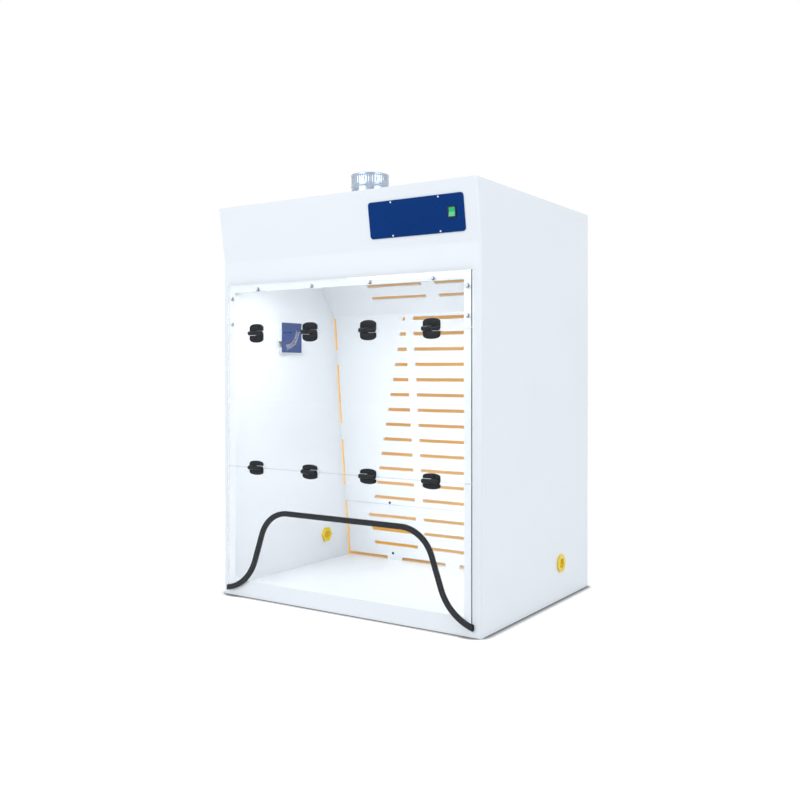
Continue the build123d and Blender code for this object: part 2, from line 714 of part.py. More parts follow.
def make_exhaust_collar():
    """Duct collar: square flange, pipe, bead that stops the duct, and the end that the duct fits."""
    bead_middle = COLLAR_BEAD_BOTTOM + COLLAR_BEAD_HEIGHT / 2
    bead_top = COLLAR_BEAD_BOTTOM + COLLAR_BEAD_HEIGHT
    end_top = bead_top + COLLAR_END_HEIGHT
    bore = COLLAR_RADIUS - COLLAR_SHEET
    outline = Polyline(
        (bore, 0),
        (COLLAR_RADIUS, 0),
        (COLLAR_RADIUS, COLLAR_BEAD_BOTTOM),
        (COLLAR_RADIUS + COLLAR_BEAD_PROUD, bead_middle),
        (COLLAR_RADIUS, bead_top),
        (COLLAR_RADIUS, end_top),
        (bore, end_top),
        close=True,
    )
    pipe = revolve(Plane.XZ * make_face(outline), axis=Axis.Z)
    width = 2 * (COLLAR_RADIUS + COLLAR_FLANGE)
    flange = Box(width, width, COLLAR_SHEET, align=BASE_ALIGN)
    flange -= Cylinder(bore, COLLAR_SHEET, align=BASE_ALIGN)
    return Pos(COLLAR_X, COLLAR_Y, HEIGHT) * (pipe + flange)


# Exhaust fan


def make_fan_inlet_ring():
    """Throat that rises into the impeller's eye, with a square flange on the ceiling deck."""
    outer = INLET_RADIUS + INLET_SHEET
    width = 2 * (outer + INLET_FLANGE)
    flange = Box(width, width, INLET_SHEET, align=BASE_ALIGN)
    throat = Cylinder(outer, INLET_RISE, align=BASE_ALIGN)
    bore = Cylinder(INLET_RADIUS, INLET_RISE, align=BASE_ALIGN)
    return Pos(FAN_X, FAN_Y, DECK_TOP) * (flange + throat - bore)


def impeller_base():
    """Height of the lower edges of the impeller's blades."""
    return DECK_TOP + INLET_RISE - BLADE_OVER_INLET


def make_fan_impeller():
    """Impeller: blades that lean backwards under a round plate, hub and shaft."""
    blade_length = (IMPELLER_RADIUS - IMPELLER_EYE) / math.cos(math.radians(BLADE_LEAN)) * 0.9
    blade = Pos(IMPELLER_EYE, 0, 0) * Rot(0, 0, -BLADE_LEAN) * Box(
        blade_length,
        IMPELLER_SHEET,
        BLADE_HEIGHT,
        align=(Align.MIN, Align.CENTER, Align.MIN),
    )
    plate_height = BLADE_HEIGHT - IMPELLER_SHEET
    impeller = Pos(0, 0, plate_height) * Cylinder(IMPELLER_RADIUS, IMPELLER_SHEET, align=BASE_ALIGN)
    for turn in range(BLADE_COUNT):
        impeller += Rot(0, 0, turn * 360 / BLADE_COUNT) * blade
    impeller += Pos(0, 0, plate_height - HUB_RADIUS) * Cylinder(
        HUB_RADIUS, HUB_RADIUS, align=BASE_ALIGN
    )
    impeller += Pos(0, 0, plate_height) * Cylinder(SHAFT_RADIUS, SHAFT_LENGTH, align=BASE_ALIGN)
    return Pos(FAN_X, FAN_Y, impeller_base()) * impeller


def make_fan_motor():
    """Motor above the impeller, with the bore that the shaft turns in."""
    base = impeller_base() + BLADE_HEIGHT + MOTOR_CLEARANCE
    motor = Cylinder(MOTOR_RADIUS, MOTOR_HEIGHT, align=BASE_ALIGN)
    bore = Cylinder(SHAFT_RADIUS + PIN_RUNNING_GAP, SHAFT_LENGTH, align=BASE_ALIGN)
    return Pos(FAN_X, FAN_Y, base) * (motor - bore)


def make_fan_bracket():
    """Folded strap over the fan, with its feet on the deck, that holds the motor."""
    bridge = impeller_base() + BLADE_HEIGHT + MOTOR_CLEARANCE + MOTOR_HEIGHT
    leg = IMPELLER_RADIUS + BRACKET_CLEARANCE
    outline = [
        (-leg - BRACKET_FOOT, DECK_TOP),
        (-leg - BRACKET_FOOT, DECK_TOP + BRACKET_SHEET),
        (-leg - BRACKET_SHEET, DECK_TOP + BRACKET_SHEET),
        (-leg - BRACKET_SHEET, bridge + BRACKET_SHEET),
        (leg + BRACKET_SHEET, bridge + BRACKET_SHEET),
        (leg + BRACKET_SHEET, DECK_TOP + BRACKET_SHEET),
        (leg + BRACKET_FOOT, DECK_TOP + BRACKET_SHEET),
        (leg + BRACKET_FOOT, DECK_TOP),
        (leg, DECK_TOP),
        (leg, bridge),
        (-leg, bridge),
        (-leg, DECK_TOP),
    ]
    plane = Plane(origin=(FAN_X, FAN_Y - BRACKET_WIDTH / 2, 0), x_dir=RIGHT, z_dir=(0, -1, 0))
    return extrude(plane * make_face(Polyline(*outline, close=True)), amount=BRACKET_WIDTH, dir=(0, 1, 0))


# Controls


def switch_body_size():
    """Width and height of the switch body behind the bezel."""
    return BEZEL_WIDTH - 2 * SWITCH_FRAME, BEZEL_HEIGHT - SWITCH_FRAME


def make_control_plate():
    """Blue plate on the fascia, with the switch's cut-out."""
    outline = RectangleRounded(PLATE_WIDTH, PLATE_HEIGHT, PLATE_RADIUS)
    plate = extrude(PLATE_PLANE * outline, amount=PLATE_SHEET, dir=FASCIA_OUT)
    width, height = switch_body_size()
    return plate - SWITCH_PLANE * Box(width, height, 4 * PLATE_SHEET)


def make_control_box():
    """Box behind the control plate, in the fascia's cut-out."""
    middle = -CONTROL_BOX_DEPTH / 2
    shell = Pos(0, 0, middle) * Box(CONTROL_BOX_WIDTH, CONTROL_BOX_HEIGHT, CONTROL_BOX_DEPTH)
    hollow = Pos(0, 0, middle + CONTROL_BOX_SHEET) * Box(
        CONTROL_BOX_WIDTH - 2 * CONTROL_BOX_SHEET,
        CONTROL_BOX_HEIGHT - 2 * CONTROL_BOX_SHEET,
        CONTROL_BOX_DEPTH,
    )
    return PLATE_PLANE * (shell - hollow)


def rocker_pivot_depth():
    """Depth of the rocker's pivot behind the bezel's back."""
    return ROCKER_STUB


def make_switch_housing():
    """Rocker switch's bezel and body, with the well that the rocker tilts in."""
    width, height = switch_body_size()
    bezel = extrude(RectangleRounded(BEZEL_WIDTH, BEZEL_HEIGHT, SWITCH_FRAME), amount=BEZEL_PROUD)
    body = Pos(0, 0, -SWITCH_DEPTH / 2) * Box(width, height, SWITCH_DEPTH)
    well_height = ROCKER_HEIGHT + 2 * ROCKER_WELL_GAP
    well_depth = BEZEL_PROUD + SWITCH_DEPTH / 2
    well = Pos(0, 0, BEZEL_PROUD - well_depth / 2) * Box(
        ROCKER_WIDTH + ROCKER_WELL_GAP, well_height, well_depth
    )
    stub_hole = Pos(0, 0, -rocker_pivot_depth()) * Rot(0, 90, 0) * Cylinder(
        ROCKER_STUB + PIN_RUNNING_GAP, ROCKER_WIDTH + 2 * ROCKER_WELL_GAP
    )
    return SWITCH_PLANE * (bezel + body - well - stub_hole)


def make_switch_rocker():
    """Green rocker, tilted to its off side, with its pivot stubs."""
    half = ROCKER_HEIGHT / 2
    outline = [
        (-half, ROCKER_CROWN),
        (0, ROCKER_CROWN - half * math.tan(math.radians(ROCKER_TILT))),
        (half, ROCKER_CROWN),
        (half, 0),
        (0, -ROCKER_CROWN),
        (-half, 0),
    ]
    face = Plane.YZ.offset(-ROCKER_WIDTH / 2) * make_face(Polyline(*outline, close=True))
    body = extrude(face, amount=ROCKER_WIDTH, dir=RIGHT)
    stub_length = ROCKER_WIDTH + 1.6 * ROCKER_WELL_GAP
    stubs = Rot(0, 90, 0) * Cylinder(ROCKER_STUB, stub_length)
    rocker = Rot(-ROCKER_TILT, 0, 0) * (body + stubs)
    return SWITCH_PLANE * Pos(0, 0, -rocker_pivot_depth()) * rocker


def make_power_inlet():
    """Power inlet in the rear wall: flange, body and socket with its three blades."""
    plane = Plane(origin=(POWER_INLET_X, BACK, POWER_INLET_HEIGHT), x_dir=(-1, 0, 0), z_dir=(0, 1, 0))
    flange = extrude(
        RectangleRounded(POWER_FLANGE_WIDTH, POWER_FLANGE_HEIGHT, POWER_FLANGE_SHEET),
        amount=POWER_FLANGE_SHEET,
    )
    depth = WALL + POWER_BODY_BEHIND
    body = Pos(0, 0, -depth / 2) * Box(POWER_BODY_WIDTH, POWER_BODY_HEIGHT, depth)
    socket = Pos(0, 0, POWER_FLANGE_SHEET - POWER_SOCKET_DEPTH / 2) * Box(
        POWER_BODY_WIDTH - 2 * POWER_WALL, POWER_BODY_HEIGHT - 2 * POWER_WALL, POWER_SOCKET_DEPTH
    )
    socket = fillet(socket.edges().filter_by(Axis.Z).group_by(Axis.Y)[-1], 2 * POWER_WALL)
    blade_length = POWER_SOCKET_DEPTH - POWER_WALL
    blades = [
        Pos(x, y, POWER_FLANGE_SHEET - POWER_SOCKET_DEPTH + blade_length / 2)
        * Box(POWER_WALL - 0.5, 2 * POWER_WALL - 1, blade_length)
        for x, y in ((-POWER_PIN_SPREAD, -POWER_WALL), (0, POWER_WALL), (POWER_PIN_SPREAD, -POWER_WALL))
    ]
    return plane * (flange + body - socket + blades)


# Lamp


def lamp_range():
    """Y places of the lamp's front and back."""
    front = FRONT + FRONT_SHEET + LAMP_BEHIND_HEADER
    return front, front + LAMP_WIDTH


def make_lamp_housing():
    """Channel under the ceiling deck, open below."""
    front, back = lamp_range()
    bottom = DECK_HEIGHT - LAMP_HEIGHT
    shell = block((-LAMP_LENGTH / 2, LAMP_LENGTH / 2), (front, back), (bottom, DECK_HEIGHT))
    hollow = block(
        (-LAMP_LENGTH / 2 + LAMP_SHEET, LAMP_LENGTH / 2 - LAMP_SHEET),
        (front + LAMP_SHEET, back - LAMP_SHEET),
        (bottom - 1, DECK_HEIGHT - LAMP_SHEET),
    )
    return shell - hollow


def make_lamp_lens():
    """Lens held in the channel's mouth."""
    front, back = lamp_range()
    bottom = DECK_HEIGHT - LAMP_HEIGHT
    return block(
        (-LAMP_LENGTH / 2 + LAMP_SHEET, LAMP_LENGTH / 2 - LAMP_SHEET),
        (front + LAMP_SHEET, back - LAMP_SHEET),
        (bottom, bottom + LENS_SHEET),
    )


# Airflow gauge


def gauge_plane():
    """Plane on the left wall at the vane's pivot: local x to the back, local y up, local z out."""
    origin = (-INNER_X, GAUGE_FRONT_Y + GAUGE_PIVOT_Y, GAUGE_BOTTOM + GAUGE_PIVOT_HEIGHT)
    return Plane(origin=origin, x_dir=(0, 1, 0), z_dir=RIGHT)


def gauge_rectangle(x_low, x_high, y_low, y_high):
    """Rectangle on the gauge, measured from its lower front corner."""
    centre = ((x_low + x_high) / 2 - GAUGE_PIVOT_Y, (y_low + y_high) / 2 - GAUGE_PIVOT_HEIGHT)
    return Pos(*centre) * Rectangle(x_high - x_low, y_high - y_low)


def make_gauge_body():
    """Body of the gauge: a flat case with an airway through it and the vane's pin."""
    case = extrude(gauge_rectangle(0, GAUGE_DEPTH, 0, GAUGE_HEIGHT), amount=GAUGE_THICKNESS)
    room = VANE_LENGTH + 2 * VANE_GAP
    chamber = Pos(room / 2 - 2 * VANE_EYE, -room / 2 + 2 * VANE_EYE) * Rectangle(
        room + 4 * VANE_EYE, room + 4 * VANE_EYE
    )
    low = GAUGE_PIVOT_HEIGHT - room
    airway = gauge_rectangle(-1, GAUGE_DEPTH + 1, low, low + GAUGE_AIRWAY)
    hollow = extrude(Sketch() + [chamber, airway], amount=GAUGE_THICKNESS)
    case -= Pos(0, 0, GAUGE_WALL) * hollow
    cover = extrude(
        gauge_rectangle(GAUGE_FACE_DEPTH, GAUGE_DEPTH, 0, GAUGE_HEIGHT), amount=GAUGE_WALL
    )
    case += Pos(0, 0, GAUGE_THICKNESS - GAUGE_WALL) * cover
    case += Cylinder(VANE_PIN, GAUGE_THICKNESS, align=BASE_ALIGN)
    return gauge_plane() * case


def make_gauge_face():
    """Blue face of the gauge, with a curved window over the vane's tip."""
    face = gauge_rectangle(0, GAUGE_FACE_DEPTH, 0, GAUGE_HEIGHT)
    radius = VANE_LENGTH - WINDOW_HALF_WIDTH
    ring = Circle(radius + WINDOW_HALF_WIDTH) - Circle(radius - WINDOW_HALF_WIDTH)
    start = math.radians(-90 - WINDOW_MARGIN_ANGLE)
    end = math.radians(-90 + VANE_SWING + WINDOW_MARGIN_ANGLE)
    corners = [(0, 0)]
    for angle in (start, (start + end) / 2, end):
        corners.append((2 * radius * math.cos(angle), 2 * radius * math.sin(angle)))
    face -= ring & make_face(Polyline(*corners, close=True))
    plane = gauge_plane() * Pos(0, 0, GAUGE_THICKNESS)
    return extrude(plane * face, amount=GAUGE_FACE_SHEET, dir=RIGHT)


def make_gauge_vane():
    """Light vane that hangs from the pin and swings back with the airflow."""
    width = GAUGE_THICKNESS - GAUGE_WALL - 2 * VANE_GAP
    eye = Cylinder(VANE_EYE, width, align=BASE_ALIGN)
    blade = Pos(0, -VANE_LENGTH / 2, width / 2) * Box(VANE_SHEET, VANE_LENGTH, width)
    bore = Cylinder(VANE_PIN + PIN_RUNNING_GAP, 4 * width)
    return gauge_plane() * Pos(0, 0, GAUGE_WALL + VANE_GAP) * (eye + blade - bore)


# Cord ports


def make_cord_port(side):
    """Yellow bushing through a side wall, with its flange outside."""
    start = (side * (WIDTH / 2 + PORT_FLANGE_SHEET), PORT_Y, PORT_HEIGHT)
    inward = (-side, 0, 0)
    flange = rod(start, inward, PORT_FLANGE, PORT_FLANGE_SHEET)
    length = PORT_FLANGE_SHEET + WALL + PORT_NUT_SHEET
    sleeve = rod(start, inward, PORT_SLEEVE, length)
    return flange + sleeve - rod(start, inward, PORT_BORE, length)


def make_port_nut(side):
    """Hexagonal lock nut on the bushing's sleeve, inside the wall."""
    start = (side * INNER_X, PORT_Y, PORT_HEIGHT)
    plane = Plane(origin=start, x_dir=(0, 1, 0), z_dir=(-side, 0, 0))
    nut = extrude(plane * RegularPolygon(PORT_NUT, 6), amount=PORT_NUT_SHEET, dir=plane.z_dir)
    return nut - rod(start, plane.z_dir, PORT_SLEEVE, PORT_NUT_SHEET)


# Nodes


def hood_parts():
    """Every sub-part, by the name of its node."""
    parts = {
        "front_frame": make_front_frame(),
        "left_side_wall": make_side_wall(-1),
        "right_side_wall": make_side_wall(1),
        "rear_wall": make_rear_wall(),
        "floor_panel": make_floor_panel(),
        "ceiling_deck": make_ceiling_deck(),
        "top_panel": make_top_panel(),
        "main_baffle": make_main_baffle(),
        "lower_baffle": make_lower_baffle(),
        "plenum_liner": make_plenum_liner(),
        "baffle_batten": make_baffle_batten(),
        "baffle_cleats": make_baffle_cleats(),
        "exhaust_collar": make_exhaust_collar(),
        "fan_inlet_ring": make_fan_inlet_ring(),
        "fan_impeller": make_fan_impeller(),
        "fan_motor": make_fan_motor(),
        "fan_bracket": make_fan_bracket(),
        "control_plate": make_control_plate(),
        "control_box": make_control_box(),
        "switch_housing": make_switch_housing(),
        "switch_rocker": make_switch_rocker(),
        "power_inlet": make_power_inlet(),
        "lamp_housing": make_lamp_housing(),
        "lamp_lens": make_lamp_lens(),
        "gauge_body": make_gauge_body(),
        "gauge_face": make_gauge_face(),
        "gauge_vane": make_gauge_vane(),
        "cord_port_left": make_cord_port(-1),
        "cord_port_right": make_cord_port(1),
        "port_lock_nuts": [make_port_nut(-1), make_port_nut(1)],
        "fixed_panel": make_fixed_panel(),
        "fixed_panel_spacers": make_panel_spacers(),
        "middle_panel": make_middle_panel(),
        "lower_panel": make_lower_panel(),
        "edge_trim": make_edge_trim(),
    }
    for name, line, leaf in (
        ("upper_hinge_top_leaves", UPPER_HINGE_HEIGHT, UPPER_LEAF),
        ("upper_hinge_swing_leaves", UPPER_HINGE_HEIGHT, -UPPER_LEAF),
        ("lower_hinge_top_leaves", LOWER_HINGE_HEIGHT, LOWER_LEAF),
        ("lower_hinge_swing_leaves", LOWER_HINGE_HEIGHT, -LOWER_LEAF),
    ):
        parts[name] = [make_hinge_leaf(column, line, leaf) for column in HINGE_COLUMNS]
    return parts


def node_shape(solids):
    """One shape for a node, from a solid or from a group of separate solids."""
    if isinstance(solids, list):
        return Compound(children=[Part() + solid for solid in solids])
    return solids


os.makedirs("parts", exist_ok=True)
for node, solids in hood_parts().items():
    export_step(node_shape(solids), f"parts/{node}.step")
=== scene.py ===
# %% [markdown]
# # A polypropylene bench fume hood
#
# The hood is a cabinet of thick white plastic sheet with a clear front that folds up on black
# hinges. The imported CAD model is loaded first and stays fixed. Everything below either gives one of
# its parts a finish, or adds a finer piece where the CAD only has the main form.

# %% Load the fixed model
import bmesh
import bpy
import json
import math
from mathutils import Matrix, Vector


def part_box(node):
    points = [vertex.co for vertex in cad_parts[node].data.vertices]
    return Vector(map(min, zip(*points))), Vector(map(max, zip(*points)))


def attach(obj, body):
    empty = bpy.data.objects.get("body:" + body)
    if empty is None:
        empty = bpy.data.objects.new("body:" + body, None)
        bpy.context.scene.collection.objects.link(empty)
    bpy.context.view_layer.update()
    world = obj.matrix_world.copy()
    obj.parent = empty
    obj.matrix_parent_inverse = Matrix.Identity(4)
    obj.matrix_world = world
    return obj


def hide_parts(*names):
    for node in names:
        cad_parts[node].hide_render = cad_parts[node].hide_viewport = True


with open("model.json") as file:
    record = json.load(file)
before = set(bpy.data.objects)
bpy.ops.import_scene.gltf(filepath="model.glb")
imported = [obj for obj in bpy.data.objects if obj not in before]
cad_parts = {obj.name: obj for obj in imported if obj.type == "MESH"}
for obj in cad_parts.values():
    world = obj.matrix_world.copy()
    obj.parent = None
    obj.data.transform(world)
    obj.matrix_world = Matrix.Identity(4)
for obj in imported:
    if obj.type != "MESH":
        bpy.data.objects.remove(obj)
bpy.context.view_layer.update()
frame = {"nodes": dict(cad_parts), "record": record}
nodes = frame["nodes"]
mm = 0.001

# %% [markdown]
# ## The camera
#
# The hood was photographed from the right of its front, at about 0.7 m above the table and with
# upright sides that stay parallel. That means a level camera: it isn't tilted down, and the frame is
# shifted instead, as an architectural photographer does with a shift lens.

# %% Camera
camera_data = bpy.data.cameras.new("camera")
camera_data.lens = 41.98
camera_data.shift_y = -0.038
camera = bpy.data.objects.new("camera", camera_data)
camera.location = (1.6169, -2.4949, 0.6998)
camera.rotation_euler = (math.radians(90), 0, math.radians(33.5))
bpy.context.scene.collection.objects.link(camera)
bpy.context.scene.camera = camera
print("camera at", tuple(camera.location))

# %% [markdown]
# ## The studio
#
# The photograph is a cut-out look: pure white all round, with only a narrow soft shadow under the
# cabinet's edges. A floor that is simply very bright would also light the object from below, so the
# extra brightness is only for rays that the camera, a reflection or a clear sheet sends out. For
# those the floor is white paint with a small glow added. Where light reaches it, it just clips to
# white. Within 3.5 cm of the cabinet's foot an ambient occlusion mask darkens it, which is the thin
# contact shadow that the photograph shows.

# %% Mask for the white look
def seen_directly(tree):
    """A value of 1 for what the camera sees itself, in a reflection or through a clear sheet.

    Rays that a matt surface has scattered get 0, so that the white look lights nothing.
    """
    path = tree.nodes.new("ShaderNodeLightPath")
    seen = path.outputs["Is Camera Ray"]
    for name in ("Is Glossy Ray", "Is Transmission Ray"):
        either = tree.nodes.new("ShaderNodeMath")
        either.operation = "MAXIMUM"
        tree.links.new(seen, either.inputs[0])
        tree.links.new(path.outputs[name], either.inputs[1])
        seen = either.outputs[0]
    unscattered = tree.nodes.new("ShaderNodeMath")
    unscattered.operation = "LESS_THAN"
    unscattered.inputs[1].default_value = 0.5
    tree.links.new(path.outputs["Diffuse Depth"], unscattered.inputs[0])
    both = tree.nodes.new("ShaderNodeMath")
    both.operation = "MULTIPLY"
    tree.links.new(seen, both.inputs[0])
    tree.links.new(unscattered.outputs[0], both.inputs[1])
    return both.outputs[0]


print("mask helper ready")

# %% Floor paint
contact_reach = 0.035
floor_material = bpy.data.materials.new("studio_floor")
floor_material.use_nodes = True
tree = floor_material.node_tree
tree.nodes.clear()
output = tree.nodes.new("ShaderNodeOutputMaterial")
paint = tree.nodes.new("ShaderNodeBsdfDiffuse")
paint.inputs["Color"].default_value = (0.72, 0.73, 0.74, 1)
bright = tree.nodes.new("ShaderNodeBsdfDiffuse")
near = tree.nodes.new("ShaderNodeAmbientOcclusion")
near.samples = 16
near.inputs["Distance"].default_value = contact_reach
contact = tree.nodes.new("ShaderNodeMapRange")
contact.inputs["From Min"].default_value = 0.58
contact.inputs["From Max"].default_value = 0.97
contact.inputs["To Min"].default_value = 0.16
tree.links.new(near.outputs["AO"], contact.inputs["Value"])
tree.links.new(contact.outputs[0], bright.inputs["Color"])
lift = tree.nodes.new("ShaderNodeEmission")
lift.inputs["Strength"].default_value = 0.42
tree.links.new(contact.outputs[0], lift.inputs["Color"])
both = tree.nodes.new("ShaderNodeAddShader")
tree.links.new(bright.outputs[0], both.inputs[0])
tree.links.new(lift.outputs[0], both.inputs[1])
choose = tree.nodes.new("ShaderNodeMixShader")
tree.links.new(seen_directly(tree), choose.inputs[0])
tree.links.new(paint.outputs[0], choose.inputs[1])
tree.links.new(both.outputs[0], choose.inputs[2])
tree.links.new(choose.outputs[0], output.inputs["Surface"])
print("floor paint darkens within", contact_reach, "m of the cabinet")

# %% Floor
floor_half = 14.0
floor_drop = 0.0006
corners = [(x * floor_half, y * floor_half, 0) for x, y in ((-1, -1), (1, -1), (1, 1), (-1, 1))]
floor_mesh = bpy.data.meshes.new("studio_floor")
floor_mesh.from_pydata(corners, [], [(0, 1, 2, 3)])
floor = bpy.data.objects.new("studio_floor", floor_mesh)
floor.location.z = -floor_drop
floor.data.materials.append(floor_material)
bpy.context.scene.collection.objects.link(floor)
print("floor", tuple(floor.dimensions))

# %% [markdown]
# ## Light from all round
#
# White plastic keeps its form in soft light, where a hard lamp would burn out one face and leave the
# next one grey. A pale, slightly blue world gives that light from every side. The camera, a
# reflection and a clear sheet see plain white in its place, by the same mask as on the floor, so the
# backdrop is white and adds no light. The view transform is Standard, which shows a colour about as
# it is written.

# %% World
world = bpy.data.worlds.new("studio")
bpy.context.scene.world = world
world.use_nodes = True
tree = world.node_tree
tree.nodes.clear()
output = tree.nodes.new("ShaderNodeOutputWorld")
soft = tree.nodes.new("ShaderNodeBackground")
soft.inputs["Color"].default_value = (0.93, 0.965, 1, 1)
soft.inputs["Strength"].default_value = 0.62
white = tree.nodes.new("ShaderNodeBackground")
white.inputs["Color"].default_value = (1, 1, 1, 1)
white.inputs["Strength"].default_value = 1.0
choose = tree.nodes.new("ShaderNodeMixShader")
tree.links.new(seen_directly(tree), choose.inputs[0])
tree.links.new(soft.outputs[0], choose.inputs[1])
tree.links.new(white.outputs[0], choose.inputs[2])
tree.links.new(choose.outputs[0], output.inputs["Surface"])
bpy.context.scene.view_settings.view_transform = "Standard"
print("view transform", bpy.context.scene.view_settings.view_transform)

# %% [markdown]
# ## Soft boxes
#
# The photograph has no hard shadow, only a gentle fall of light from face to face. Three large
# rectangular lamps stand in for a studio's soft boxes: the strongest in front, one on the right for
# the side wall that faces the camera, and a weak one above. Point lamps would be simpler, but they
# give sharp shadows and small highlights that smooth plastic would show at once.

# %% Lamps
def soft_box(name, place, target, size, power, colour):
    """A rectangular lamp that points at a place."""
    data = bpy.data.lights.new(name, "AREA")
    data.shape = "RECTANGLE"
    data.size, data.size_y = size
    data.energy = power
    data.color = colour
    lamp = bpy.data.objects.new(name, data)
    lamp.location = place
    direction = Vector(target) - Vector(place)
    lamp.rotation_euler = direction.to_track_quat("-Z", "Y").to_euler()
    bpy.context.scene.collection.objects.link(lamp)
    return lamp


cabinet_middle = (0, 0, 0.6)
soft_box("front_soft_box", (-1.2, -4.2, 2.6), cabinet_middle,
         size=(3.2, 2.6), power=78, colour=(0.97, 0.985, 1))
soft_box("right_soft_box", (4.2, -0.6, 2.2), cabinet_middle,
         size=(2.6, 2.6), power=52, colour=(0.95, 0.975, 1))
soft_box("top_soft_box", (0, 0.2, 4.4), cabinet_middle,
         size=(3.4, 3.4), power=34, colour=(1, 1, 1))

# %% [markdown]
# ## The lamp inside the hood
#
# Hoods of this kind carry a lamp behind the header, and the chamber in the photograph is as bright
# as the outside. A lamp of the lens's own size hangs just under the lens and points down, so that
# the light comes from where the real one would.

# %% Hood lamp
lens_low, lens_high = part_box("lamp_lens")
lens_x = (lens_low.x + lens_high.x) / 2
lens_y = (lens_low.y + lens_high.y) / 2
below_lens = 0.004
aim_back = 0.25
aim_height = 0.2
hood_lamp = soft_box(
    "hood_lamp",
    (lens_x, lens_y, lens_low.z - below_lens),
    (lens_x, lens_y + aim_back, aim_height),
    size=(lens_high.x - lens_low.x, lens_high.y - lens_low.y),
    power=2.3,
    colour=(1, 0.985, 0.955),
)
hood_lamp.visible_camera = False
print("hood lamp at", tuple(round(v, 3) for v in hood_lamp.location))

# %% [markdown]
# ## Effects that several finishes share
#
# Every finish needs small unevenness, or it looks like a computer picture. Welded plastic sheet has
# a very faint cloudiness and an orange-peel skin, moulded nylon has a fine spark-eroded grain, and
# all of them get a little shinier or duller from place to place. Each effect is one node group with
# named inputs, so that each material can use it at its own scale.

# %% Node group helper
def effect_group(name, inputs, outputs):
    """Empty shader group with float or colour inputs and outputs."""
    group = bpy.data.node_groups.new(name, "ShaderNodeTree")
    for label, kind, value in inputs:
        socket = group.interface.new_socket(label, in_out="INPUT", socket_type="NodeSocket" + kind)
        socket.default_value = value
    for label, kind in outputs:
        group.interface.new_socket(label, in_out="OUTPUT", socket_type="NodeSocket" + kind)
    start = group.nodes.new("NodeGroupInput")
    end = group.nodes.new("NodeGroupOutput")
    return group, start.outputs, end.inputs


def add_node(tree, kind, **settings):
    """New node with its plain settings."""
    node = tree.nodes.new(kind)
    for name, value in settings.items():
        setattr(node, name, value)
    return node


def object_noise(tree, scale_socket, detail):
    """Noise over the object's own coordinates."""
    place = tree.nodes.new("ShaderNodeTexCoord")
    noise = tree.nodes.new("ShaderNodeTexNoise")
    noise.inputs["Detail"].default_value = detail
    tree.links.new(place.outputs["Object"], noise.inputs["Vector"])
    tree.links.new(scale_socket, noise.inputs["Scale"])
    return noise.outputs["Fac"]


# A Mix node has sockets for each of its data types. These are the places of its colour sockets.
first_colour = 6
second_colour = 7
mixed_colour = 2
print("effect helpers ready")

# %% [markdown]
# ### Cloudiness
#
# Thick sheet is never one even white: its tone drifts a little from one side to the other. A slow
# noise fades between two tones that lie close together. It passes through a wide ramp, because a
# border between two flat tones would look like a stain.

# %% Cloudiness: a slow change between two tones
tone_group, start, end = effect_group(
    "cloudy_tone",
    [("Scale", "Float", 3.0), ("Light", "Color", (1, 1, 1, 1)), ("Shade", "Color", (0.9, 0.9, 0.9, 1))],
    [("Colour", "Color")],
)
cloud = object_noise(tone_group, start["Scale"], 3.0)
ramp = add_node(tone_group, "ShaderNodeMapRange")
ramp.inputs["From Min"].default_value = 0.35
ramp.inputs["From Max"].default_value = 0.65
tone_group.links.new(cloud, ramp.inputs["Value"])
mix = add_node(tone_group, "ShaderNodeMix", data_type="RGBA")
tone_group.links.new(ramp.outputs[0], mix.inputs["Factor"])
tone_group.links.new(start["Light"], mix.inputs[first_colour])
tone_group.links.new(start["Shade"], mix.inputs[second_colour])
tone_group.links.new(mix.outputs[mixed_colour], end["Colour"])
print("group", tone_group.name)

# %% [markdown]
# ### Skin
#
# Pressed sheet has a faint orange-peel skin, and moulded nylon the fine grain of its mould. One
# noise gives the height for a Bump node. A second, twenty times coarser, moves the roughness between
# two values, so that a highlight is a little broken up. A photographed texture would repeat, and it
# would have to be laid out on every part.

# %% Skin: fine relief and the shine that goes with it
shine_coarseness = 0.05
skin_group, start, end = effect_group(
    "moulded_skin",
    [("Scale", "Float", 400.0), ("Smooth", "Float", 0.3), ("Rough", "Float", 0.45)],
    [("Height", "Float"), ("Roughness", "Float")],
)
grain = object_noise(skin_group, start["Scale"], 4.0)
shine_scale = add_node(skin_group, "ShaderNodeMath", operation="MULTIPLY")
shine_scale.inputs[1].default_value = shine_coarseness
skin_group.links.new(start["Scale"], shine_scale.inputs[0])
shine = object_noise(skin_group, shine_scale.outputs[0], 2.0)
spread = add_node(skin_group, "ShaderNodeMapRange")
spread.inputs["From Min"].default_value = 0.3
spread.inputs["From Max"].default_value = 0.7
skin_group.links.new(shine, spread.inputs["Value"])
skin_group.links.new(start["Smooth"], spread.inputs["To Min"])
skin_group.links.new(start["Rough"], spread.inputs["To Max"])
skin_group.links.new(grain, end["Height"])
skin_group.links.new(spread.outputs[0], end["Roughness"])
print("group", skin_group.name)
